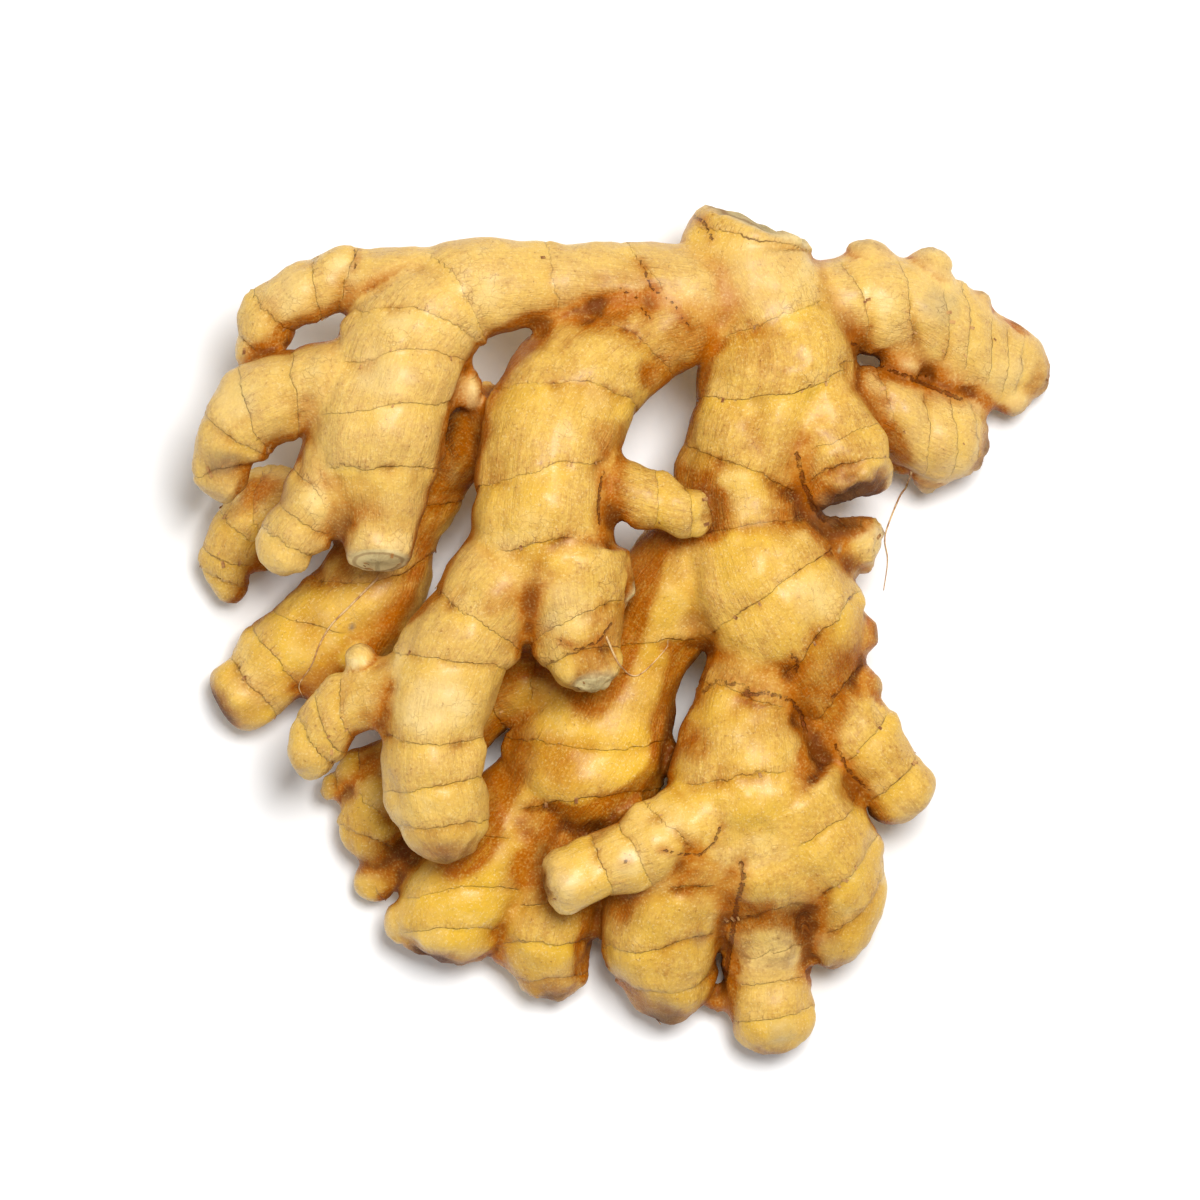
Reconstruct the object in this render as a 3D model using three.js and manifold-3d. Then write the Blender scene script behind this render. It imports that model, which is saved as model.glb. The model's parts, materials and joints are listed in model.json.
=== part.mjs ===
// A hand of fresh ginger root lying on a table, in millimetres, +Z up.
// One branching rhizome: a thick trunk, four broad hands that grow from it and the blunt fingers,
// buds and stubs on each hand. Growth rings run round every limb. It is all one piece of flesh.
import * as THREE from 'three';
import { mergeVertices } from 'three/addons/utils/BufferGeometryUtils.js';
import Module from 'manifold-3d';

// Growth rings: how far a limb swells between two rings, over its own radius.
const RING_RELIEF = 0.05;
// The usual spacing of sections along a limb.
const SECTION_STEP = 6.4;
// The rounded end of a limb: sections along it from its start at 0 to its end at 1.
const TIP_SECTIONS = [0, 0.62, 0.93];
const CUT_SECTIONS = [0, 0.75];
// A limb is thick or slender by its greatest radius, which sets how many sides it is given.
const THICK_RADIUS = 12;
const SLENDER_RADIUS = 5.6;
const THICK_SIDES = 12;
const MIDDLE_SIDES = 9;
const SLENDER_SIDES = 7;
// Skin colour and finish.
const SKIN_COLOUR = 0xc8963f;
const SKIN_ROUGHNESS = 0.72;

// Every limb runs from its root to its tip through points [x, y, z, radius].
// tip is the length of the rounded end over the last radius: 1 is a half ball, 0.2 a cut or broken end.
// flat is the height of a section over its width. rings is [first ring, spacing] along the limb.
const LIMBS = {
  // The trunk, from its cut head at the back to the small finger at the right front.
  trunk: {
    path: [
      [34, 101, 29, 14.5], [31, 91, 29, 15.5], [37, 79, 30, 17.5], [40, 64, 31, 19.5],
      [34, 46, 31, 18], [31, 31, 30, 17], [36, 14, 29, 21], [44, -1, 28, 19.5],
      [52.5, -16, 27, 11], [63, -30.5, 24, 9.6], [75.6, -45.2, 18, 8.8],
    ],
    tip: 0.7, flat: 0.85, rings: [14, 16],
  },
  trunkHeadKnob: { path: [[26, 95, 29, 9], [19.5, 98, 29, 5.5]], tip: 1, flat: 1, rings: [20, 20] },
  trunkStub: {
    path: [[45, 59, 32, 13], [52.5, 45.5, 35, 12.5], [58, 33.5, 36.5, 12]],
    tip: 0.2, flat: 0.9, rings: [12, 9],
  },
  trunkBud: { path: [[52.5, 20.5, 28, 8], [66, 23, 24, 6]], tip: 1, flat: 1, rings: [6, 5] },
  trunkBudNub: { path: [[60, 21, 25, 5], [62.5, 13.5, 22, 3]], tip: 1, flat: 1, rings: [20, 20] },
  trunkKnobUpper: { path: [[56, 0, 28, 7], [65.5, -2, 27, 5]], tip: 1, flat: 1, rings: [20, 20] },
  trunkKnobLower: { path: [[56, -13, 28, 6], [65.5, -15, 26, 4.6]], tip: 1, flat: 1, rings: [20, 20] },

  // The knobbly finger at the right, whose tip touches the table.
  rightFinger: {
    path: [
      [46, 81, 28, 11], [54, 81.5, 27, 11.5], [65, 81.5, 24, 12.7], [76, 78.5, 20, 12.1],
      [87.5, 72, 14, 11.5], [97.5, 67, 8.8, 10.8], [108, 62.5, 7, 7.5],
    ],
    tip: 1, flat: 0.9, rings: [12, 7.5],
  },
  rightBackKnob1: { path: [[64, 82, 24, 8], [61.5, 97, 25, 5.5]], tip: 1, flat: 1, rings: [9, 9] },
  rightBackKnob2: { path: [[77, 80, 22, 7], [77.5, 96, 22, 5]], tip: 1, flat: 1, rings: [10, 9] },
  rightBackKnob3: { path: [[88, 76, 16, 6], [91.5, 84.5, 16, 4.5]], tip: 1, flat: 1, rings: [20, 20] },
  rightBackKnob4: { path: [[97, 70, 11, 6], [100.5, 78, 11, 4.5]], tip: 1, flat: 1, rings: [20, 20] },
  rightFrontNub1: { path: [[68, 76, 24, 6.5], [73, 62.5, 23, 4.5]], tip: 1, flat: 1, rings: [20, 20] },
  rightFrontNub2: { path: [[82, 69, 19, 6], [83, 57.8, 16, 4.2]], tip: 1, flat: 1, rings: [20, 20] },
  rightFrontNub3: { path: [[89, 65, 15, 5.5], [90.5, 54, 12, 3.8]], tip: 1, flat: 1, rings: [20, 20] },
  rightFrontNub4: { path: [[98, 64, 11, 5.5], [101.5, 54.8, 9, 4.2]], tip: 1, flat: 1, rings: [20, 20] },
  rightThumb: {
    path: [[58, 60, 27, 7.5], [69, 55, 23, 9], [78, 50, 17, 11.7], [92, 45, 12, 10]],
    tip: 1, flat: 0.9, rings: [13, 8],
  },
  rightThumbKnob1: { path: [[76, 53, 18, 7], [76.5, 62.5, 17, 4.5]], tip: 1, flat: 1, rings: [20, 20] },
  rightThumbKnob2: { path: [[79, 46, 14, 7], [78, 35, 11, 4.5]], tip: 1, flat: 1, rings: [20, 20] },
  rightThumbKnob3: { path: [[74, 49, 17, 7], [71, 39, 15, 4]], tip: 1, flat: 1, rings: [20, 20] },

  // The upper left hand, which reaches over the lower one and ends in a cut.
  upperLeftHand: {
    path: [
      [31, 84, 31, 12], [17.5, 82, 33, 13], [5, 84.5, 36, 12], [-10, 86, 40, 10],
      [-25, 85.7, 43, 10.5], [-40, 83.5, 46, 13], [-51, 74, 47, 15.5], [-57, 59, 48, 16.5],
      [-60.5, 44, 48, 15.5], [-60.5, 31, 46.5, 11.8], [-60.2, 23, 46.5, 9.4], [-60, 16, 49, 8.6],
    ],
    tip: 0.15, flat: 0.9, rings: [24, 14.5],
  },
  upperLeftFinger1: {
    path: [
      [-45, 84.5, 46, 10], [-61, 87, 45, 8], [-77.5, 85.2, 43, 7.6],
      [-86, 79.8, 41, 7.4], [-89.8, 72.6, 38, 6.4], [-92.5, 65, 36, 4],
    ],
    tip: 1, flat: 1, rings: [16, 12],
  },
  upperLeftFinger2: {
    path: [
      [-61, 61, 47, 11], [-75, 61, 46, 10.5], [-89, 56, 44, 10],
      [-97, 49, 41, 9.3], [-99.3, 40.8, 38, 7.4], [-98.8, 33, 35, 4.8],
    ],
    tip: 1, flat: 1, rings: [17, 10],
  },
  upperLeftFinger3: {
    path: [[-67.5, 44, 46, 11], [-75.5, 31, 45, 9.3], [-82, 22.5, 43, 7.8], [-84, 14.5, 41, 6]],
    tip: 0.8, flat: 1, rings: [14, 9],
  },
  upperLeftSpur1: {
    path: [[-45.5, 70, 46, 7], [-39.5, 61, 45, 4.6], [-36, 54.5, 44, 2.5]],
    tip: 1, flat: 1, rings: [10, 20],
  },
  upperLeftSpur2: {
    path: [[-51, 47.5, 46, 6.5], [-43.5, 43, 45, 3]],
    tip: 1, flat: 1, rings: [20, 20],
  },

  // The centre hand on top of the pile, with its side finger, its stub and its long front finger.
  centreHand: {
    path: [
      [17.5, 80, 34, 12], [5, 75, 36, 13.7], [-7, 65.5, 40, 16], [-16, 51, 44, 17.8],
      [-18.7, 36, 46, 17.5], [-19.5, 21, 46, 17], [-20, 8, 45, 11],
    ],
    tip: 1, flat: 0.9, rings: [14, 22.5],
  },
  centreHandShoulder: { path: [[-3, 69, 37, 11], [4.5, 62, 34, 8.5]], tip: 1, flat: 1, rings: [20, 20] },
  centreLongFinger: {
    path: [
      [-20, 22.5, 46, 14], [-34, 6, 46, 13.3], [-43.5, -10, 45, 13.5],
      [-46.7, -25, 44, 12.7], [-45.5, -40, 42, 12.5], [-42, -57, 39, 10],
    ],
    tip: 1, flat: 1, rings: [15, 13.5],
  },
  centreLittleFinger: {
    path: [[-52.5, -15, 43, 9.5], [-66, -18, 40, 8], [-73.5, -25, 37, 7.4], [-77, -36, 34, 5]],
    tip: 1, flat: 1, rings: [14, 8],
  },
  centreLittleBud: { path: [[-62, -12, 41, 5], [-67, -5, 43, 2.8]], tip: 1, flat: 1, rings: [20, 20] },
  centreStub: {
    path: [[-13, 17.5, 46, 15.5], [-11, 3.5, 47, 13.2], [-9.3, -5, 48.5, 10.6], [-6.5, -13.8, 51, 6.2]],
    tip: 0.2, flat: 1, rings: [17, 9],
  },
  centreStubNub: { path: [[-5, 13.5, 46, 8.5], [4, 9.2, 45, 3.6]], tip: 1, flat: 1, rings: [20, 20] },
  centreSideFinger: {
    path: [[-9, 38, 46, 9], [5, 33, 48, 7.4], [16, 30.5, 48, 6.8], [22.2, 29.2, 47, 5.8]],
    tip: 0.7, flat: 1, rings: [14, 6.5],
  },

  // The lower left hand under the upper one, lying on the table.
  lowerLeftHand: {
    path: [
      [-30, 53.7, 36, 10], [-42, 44.5, 27, 9.5], [-53, 29.5, 20, 10.5], [-62, 12.5, 15.5, 14],
      [-75.5, -0.5, 12, 12.5], [-90.5, -12.2, 10, 10], [-101.5, -20.5, 9.4, 9.4],
    ],
    tip: 0.6, flat: 1, rings: [20, 13],
  },
  lowerLeftBackFinger: {
    path: [
      [-55, 27.5, 20, 8.5], [-72.5, 31, 18, 8], [-87, 32, 16, 8.6],
      [-95.5, 24.5, 13, 8.6], [-99, 15.5, 10, 6.8], [-98, 7, 8, 2.8],
    ],
    tip: 1, flat: 1, rings: [16, 9],
  },
  lowerLeftBackNub: { path: [[-92, 20, 12, 5], [-89, 14, 10, 2.2]], tip: 1, flat: 1, rings: [20, 20] },
  lowerLeftFrontFinger: {
    path: [[-62.5, 5, 16, 11], [-69, -7.5, 13, 10], [-72.5, -24, 10, 7.5]],
    tip: 1, flat: 1, rings: [12, 9],
  },

  // The lower front hand that comes from the middle of the trunk and passes under the centre hand.
  lowerFrontHand: {
    path: [
      [25, 24, 27, 15], [11, 6, 25, 14.5], [1.5, -9.5, 23, 13.5],
      [-4, -25, 20, 18.5], [-12.5, -40, 18, 19], [-18, -51, 17, 14],
    ],
    tip: 1, flat: 0.85, rings: [18, 14],
  },
  lowerFrontFinger1: {
    path: [[-20, -42.5, 17, 14], [-32, -55, 15, 14.3], [-41, -67.5, 13.3, 13.8], [-46, -82, 12, 12]],
    tip: 0.6, flat: 1, rings: [16, 11],
  },
  lowerFrontNub1: {
    path: [[-51, -73, 13, 7], [-58.7, -75.5, 11, 4]],
    tip: 1, flat: 1, rings: [20, 20],
  },
  lowerFrontNub2: { path: [[-39, -78, 11, 6], [-35.5, -83.5, 9, 3]], tip: 1, flat: 1, rings: [20, 20] },
  lowerFrontFinger2: {
    path: [
      [-10.5, -50, 17, 12.5], [-15.5, -65, 14, 11.7], [-18.5, -77.5, 11.7, 12.2], [-17.3, -87.5, 9.5, 9.3],
      [-16.8, -93, 9, 8],
    ],
    tip: 0.7, flat: 1, rings: [12, 8],
  },
  lowerFrontNub3: { path: [[-25, -80, 11, 6], [-32.5, -83, 9, 3.6]], tip: 1, flat: 1, rings: [20, 20] },
  lowerFrontArm: {
    path: [[-4, -17.5, 20, 12], [-24, -12, 18, 10], [-42.5, -22.5, 14, 10], [-55, -36, 13, 9]],
    tip: 1, flat: 1, rings: [18, 11],
  },
  lowerFrontSpur1: {
    path: [[-56, -34, 13, 8], [-68, -38, 10, 5.8], [-76, -40, 8, 3.3]],
    tip: 1, flat: 1, rings: [9, 8],
  },
  lowerFrontSpur2: {
    path: [[-54, -37.5, 13, 9], [-61.5, -47.5, 11, 10], [-62.5, -59.5, 8, 5.5]],
    tip: 1, flat: 1, rings: [9, 8],
  },
  lowerFrontSpur3: {
    path: [[-42, -55, 14, 8], [-57, -60.7, 8, 5.6], [-67, -64.5, 6, 4.6]],
    tip: 1, flat: 1, rings: [14, 8],
  },

  // The front hand below the trunk, spread into four fingers.
  frontHand: {
    path: [
      [39, -2, 29, 15], [31.5, -19, 29, 13.5], [31, -31, 29, 17.5], [31.5, -44, 28, 20],
      [32.5, -55, 26, 15],
    ],
    tip: 1, flat: 0.85, rings: [13, 12],
  },
  frontPalm: {
    path: [[31, -40, 27, 17], [34, -56, 25.5, 16.5], [38, -72, 22.5, 14]],
    tip: 1, flat: 0.9, rings: [30, 30],
  },
  frontWeb: { path: [[50, -18, 26, 9], [53, -34, 22, 8]], tip: 1, flat: 1, rings: [30, 20] },
  frontFinger1: {
    path: [[21, -47.5, 32, 12], [5, -55, 35, 9.6], [-7.5, -60, 36, 8.3], [-17.8, -64, 37, 7.2]],
    tip: 0.4, flat: 1, rings: [12, 8],
  },
  frontFinger2: {
    path: [
      [24, -50, 28, 15], [14, -65, 23, 15], [10, -78.7, 17, 14.7], [12, -90, 12.5, 11.5],
      [12.5, -99.5, 11, 8.4],
    ],
    tip: 1, flat: 1, rings: [14, 8],
  },
  frontFinger2Nub: { path: [[6, -84, 16, 6], [1, -89, 13, 3]], tip: 1, flat: 1, rings: [20, 20] },
  frontFinger3: {
    path: [
      [34, -55, 26, 13], [35.7, -72.5, 18, 10.7], [37.5, -87.5, 10.6, 11.2], [38.7, -106.2, 9, 9.6],
    ],
    tip: 0.7, flat: 1, rings: [16, 8],
  },
  frontFinger3Nub1: { path: [[33, -90, 10, 5], [22, -95, 7, 2.6]], tip: 1, flat: 1, rings: [20, 20] },
  frontFinger3Nub2: {
    path: [[33, -83, 18, 4.5], [28, -84, 18, 3.2]],
    tip: 1, flat: 1, rings: [20, 20],
  },
  frontFinger4: {
    path: [[40, -42.5, 28, 17], [49, -55, 24, 15.3], [55.5, -67.5, 19, 11.8], [52.5, -85, 13, 6.5]],
    tip: 1, flat: 0.9, rings: [13, 9],
  },
};

// Where the sections of a limb stand: at each ring, and evenly between rings.
function sectionStations(length, [firstRing, ringSpacing]) {
  const stops = [0];
  for (let ring = firstRing; ring < length - 1; ring += ringSpacing) {
    stops.push(ring);
  }
  stops.push(length);
  const stations = [];
  for (let i = 0; i + 1 < stops.length; i += 1) {
    const span = stops[i + 1] - stops[i];
    const pieces = Math.max(1, Math.round(span / SECTION_STEP));
    for (let k = 0; k < pieces; k += 1) {
      stations.push(stops[i] + (span * k) / pieces);
    }
  }
  return stations;
}

// A limb is drawn in at each ring and swells towards the next one.
function ringSwell(station, [firstRing, ringSpacing]) {
  const phase = (station - firstRing) / ringSpacing;
  const along = phase - Math.floor(phase + 1e-6);
  return 1 + RING_RELIEF * (1.4 * Math.sin(Math.PI * along) - 0.8);
}

// One limb as a turned profile that is then bent along its spine and flattened.
function limbGeometry({ path, tip, flat, rings }) {
  const spinePoints = path.map(([x, y, z]) => new THREE.Vector3(x, y, z));
  const girthPoints = path.map(([, , , radius], index) => new THREE.Vector2(index, radius));
  const spine = new THREE.CatmullRomCurve3(spinePoints, false, 'catmullrom', 0.5);
  const girth = new THREE.SplineCurve(girthPoints);
  const length = spine.getLength();
  const widest = Math.max(...path.map((point) => point[3]));
  const slimSides = widest > SLENDER_RADIUS ? MIDDLE_SIDES : SLENDER_SIDES;
  const sides = widest > THICK_RADIUS ? THICK_SIDES : slimSides;
  // The corners of a section stand out a little, so that its mean radius is the limb's own.
  const corner = 2 / (1 + Math.cos(Math.PI / sides));
  const radiusAt = (station) => corner * girth.getPoint(spine.getUtoTmapping(station / length)).y;
  const tipLength = tip * path.at(-1)[3];
  const tipStart = length - tipLength;

  const profile = [new THREE.Vector2(0, 0)];
  for (const station of sectionStations(tipStart, rings)) {
    profile.push(new THREE.Vector2(radiusAt(station) * ringSwell(station, rings), station));
  }
  for (const w of tip > 0.5 ? TIP_SECTIONS : CUT_SECTIONS) {
    const station = tipStart + w * tipLength;
    profile.push(new THREE.Vector2(radiusAt(station) * Math.sqrt(1 - w * w), station));
  }
  profile.push(new THREE.Vector2(0, length));

  const geometry = new THREE.LatheGeometry(profile, sides);
  const position = geometry.getAttribute('position');
  const up = new THREE.Vector3(0, 0, 1);
  for (let i = 0; i < position.count; i += 1) {
    const t = spine.getUtoTmapping(THREE.MathUtils.clamp(position.getY(i) / length, 0, 1));
    const across = new THREE.Vector3().crossVectors(spine.getTangent(t), up).normalize();
    const over = new THREE.Vector3().crossVectors(across, spine.getTangent(t));
    const point = spine.getPoint(t);
    point.addScaledVector(across, position.getX(i));
    point.addScaledVector(over, position.getZ(i) * flat);
    position.setXYZ(i, point.x, point.y, point.z);
  }
  return geometry;
}

const wasm = await Module();
wasm.setup();

// A closed solid of a geometry, with its seam and pole vertices merged.
function solidOf(geometry) {
  geometry.deleteAttribute('normal');
  geometry.deleteAttribute('uv');
  const merged = mergeVertices(geometry, 1e-4);
  const corners = merged.getIndex().array;
  const triangles = [];
  for (let i = 0; i < corners.length; i += 3) {
    const [a, b, c] = corners.slice(i, i + 3);
    if (a !== b && b !== c && c !== a) {
      triangles.push(a, b, c);
    }
  }
  return new wasm.Manifold(new wasm.Mesh({
    numProp: 3,
    vertProperties: new Float32Array(merged.getAttribute('position').array),
    triVerts: new Uint32Array(triangles),
  }));
}

// All limbs grown together. The table under the root flattens its lowest points into resting spots.
const limbs = Object.values(LIMBS).map((limb) => solidOf(limbGeometry(limb)));
const tableTop = solidOf(new THREE.BoxGeometry(400, 400, 40).translate(0, 0, -20));
const grown = limbs.reduce((all, limb) => all.add(limb)).subtract(tableTop);
const pieces = grown.decompose().sort((a, b) => b.volume() - a.volume());
const fleshMesh = pieces[0].getMesh();

const flesh = new THREE.BufferGeometry();
flesh.setAttribute('position', new THREE.BufferAttribute(fleshMesh.vertProperties, 3));
flesh.setIndex(new THREE.BufferAttribute(fleshMesh.triVerts, 1));
flesh.computeBoundingBox();
const middle = flesh.boundingBox.getCenter(new THREE.Vector3());
flesh.translate(-middle.x, -middle.y, -flesh.boundingBox.min.z);
flesh.computeVertexNormals();

const skin = new THREE.MeshStandardMaterial({
  color: SKIN_COLOUR,
  roughness: SKIN_ROUGHNESS,
  metalness: 0,
});
const root = new THREE.Mesh(flesh, skin);
root.name = 'ginger_root';

const part = new THREE.Group();
part.name = 'ginger_hand';
part.add(root);

export default part;
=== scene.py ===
"""A hand of fresh ginger root on a pale studio floor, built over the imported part's frame.

The root is one branching rhizome. Its limbs are lofted along their spines, fused into one skin,
webbed where they meet, given growth rings, lumps and cut ends, and coloured by a procedural skin.
Fine root hairs and torn flakes of dry skin are separate pieces that ride on it.
"""

import json
import math

import bpy
import numpy as np
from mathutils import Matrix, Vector
from mathutils.bvhtree import BVHTree

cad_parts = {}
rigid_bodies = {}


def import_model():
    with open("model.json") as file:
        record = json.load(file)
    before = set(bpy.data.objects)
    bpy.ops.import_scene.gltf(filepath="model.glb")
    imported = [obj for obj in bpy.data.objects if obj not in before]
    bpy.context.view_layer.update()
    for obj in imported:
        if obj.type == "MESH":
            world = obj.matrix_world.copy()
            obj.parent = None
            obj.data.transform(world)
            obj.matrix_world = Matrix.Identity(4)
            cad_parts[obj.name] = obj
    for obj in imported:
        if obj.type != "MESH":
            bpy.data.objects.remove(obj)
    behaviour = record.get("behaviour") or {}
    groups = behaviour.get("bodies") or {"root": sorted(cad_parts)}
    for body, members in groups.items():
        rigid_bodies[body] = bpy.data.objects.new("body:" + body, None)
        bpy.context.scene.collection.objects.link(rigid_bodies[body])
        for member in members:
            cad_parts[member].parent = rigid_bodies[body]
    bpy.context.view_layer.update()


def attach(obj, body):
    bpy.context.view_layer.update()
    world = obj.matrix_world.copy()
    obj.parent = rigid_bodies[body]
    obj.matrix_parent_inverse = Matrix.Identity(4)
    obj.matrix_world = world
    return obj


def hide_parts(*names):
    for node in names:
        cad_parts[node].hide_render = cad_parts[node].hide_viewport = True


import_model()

bl_info = {
    "name": "Ginger Root",
    "version": (1, 0, 0),
    "blender": (4, 5, 0),
    "location": "3D View > Sidebar > Ginger",
    "description": "Builds a hand of fresh ginger root with ringed fingers, root hairs and dry skin flakes",
    "category": "Object",
}

MM = 0.001

# The stage, in metres: how far the floor lies under the root, the lights, and what the camera sees.
FLOOR_GAP = 0.0004
KEY_PLACE, KEY_SIZE = (0.3, 0.42, 1.7), 0.65
FILL_PLACE, FILL_SIZE = (-1.3, -0.5, 1.3), 1.4
CAMERA_OVER = (-0.00592, 0.00801)
VIEW_WIDTH, VIEW_LEVEL = 0.3, 0.035
SENSOR_WIDTH = 36

# From here on lengths are in millimetres. How far apart a spine is sampled, the steps of its curve and
# of its rounded end, and how far round that end the last step lies.
SPINE_STEP = 1.5
CURVE_STEPS = 60
TIP_STEPS = 9
TIP_TURN = 0.985
# How often the webs are smoothed, and the share of each pull that the skin follows outward and inward.
WEB_PASSES = 11
WEB_RISE, WEB_FALL = 0.5, 0.14
# The grid that the hollows are measured on: its cell and how far it reaches past the root.
CROWD_CELL = 2.0
CROWD_MARGIN = 30
# A scar further off than this many of its widths leaves no trace.
SCAR_LIMIT = 8.0
# Points of the skin that are matched with the spines at a time.
MATCH_CHUNK = 4000
# How far the rings that stand in beyond a limb's two ends lie past them.
RING_BEFORE, RING_AFTER = 14.0, 9.0
# Side buds: how far round from the top they sit, in radians, how far past their ring, how broad they are,
# squared, and how far they add up.
BUD_TURN, BUD_PAST, BUD_BREADTH, BUD_LIMIT = 1.4, 1.8, 14, 1.2
# Root hairs: steps to a stretch, sides, the end over the start, and the height in metres they fall from.
HAIR_STEPS, HAIR_SIDES, HAIR_TAPER, HAIR_DROP = 9, 6, 0.35, 0.2
# A flake over its length, the power and the height of its curl, its turn in radians and its range of sizes.
FLAKE_SHAPE = (1.0, 0.55, 0.06)
FLAKE_CURL, FLAKE_LIFT, FLAKE_TURN = 1.7, 0.3, 0.7
FLAKE_SMALL, FLAKE_LARGE = 0.4, 1.2
# Whole numbers that scatter the lattice of the noise.
HASH_STRIDES = np.array([73856093, 19349663, 83492791])
HASH_SEED, HASH_MIX, HASH_MASK = 26544357, 1274126177, 0xFFFFFFFF

# The solids are centred on the frame, so every limb moves by this much.
CENTRING = np.array([-0.917, 0.506, 0.0])


def branch(*points, tip=1, flat=1, rings=(20, 20)):
    """A limb from its root to its tip: points (x, y, z, radius), the length of its rounded end over the last
    radius, the height of a section over its width, and where rings start and how far apart they are."""
    return points, tip, flat, rings


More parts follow.
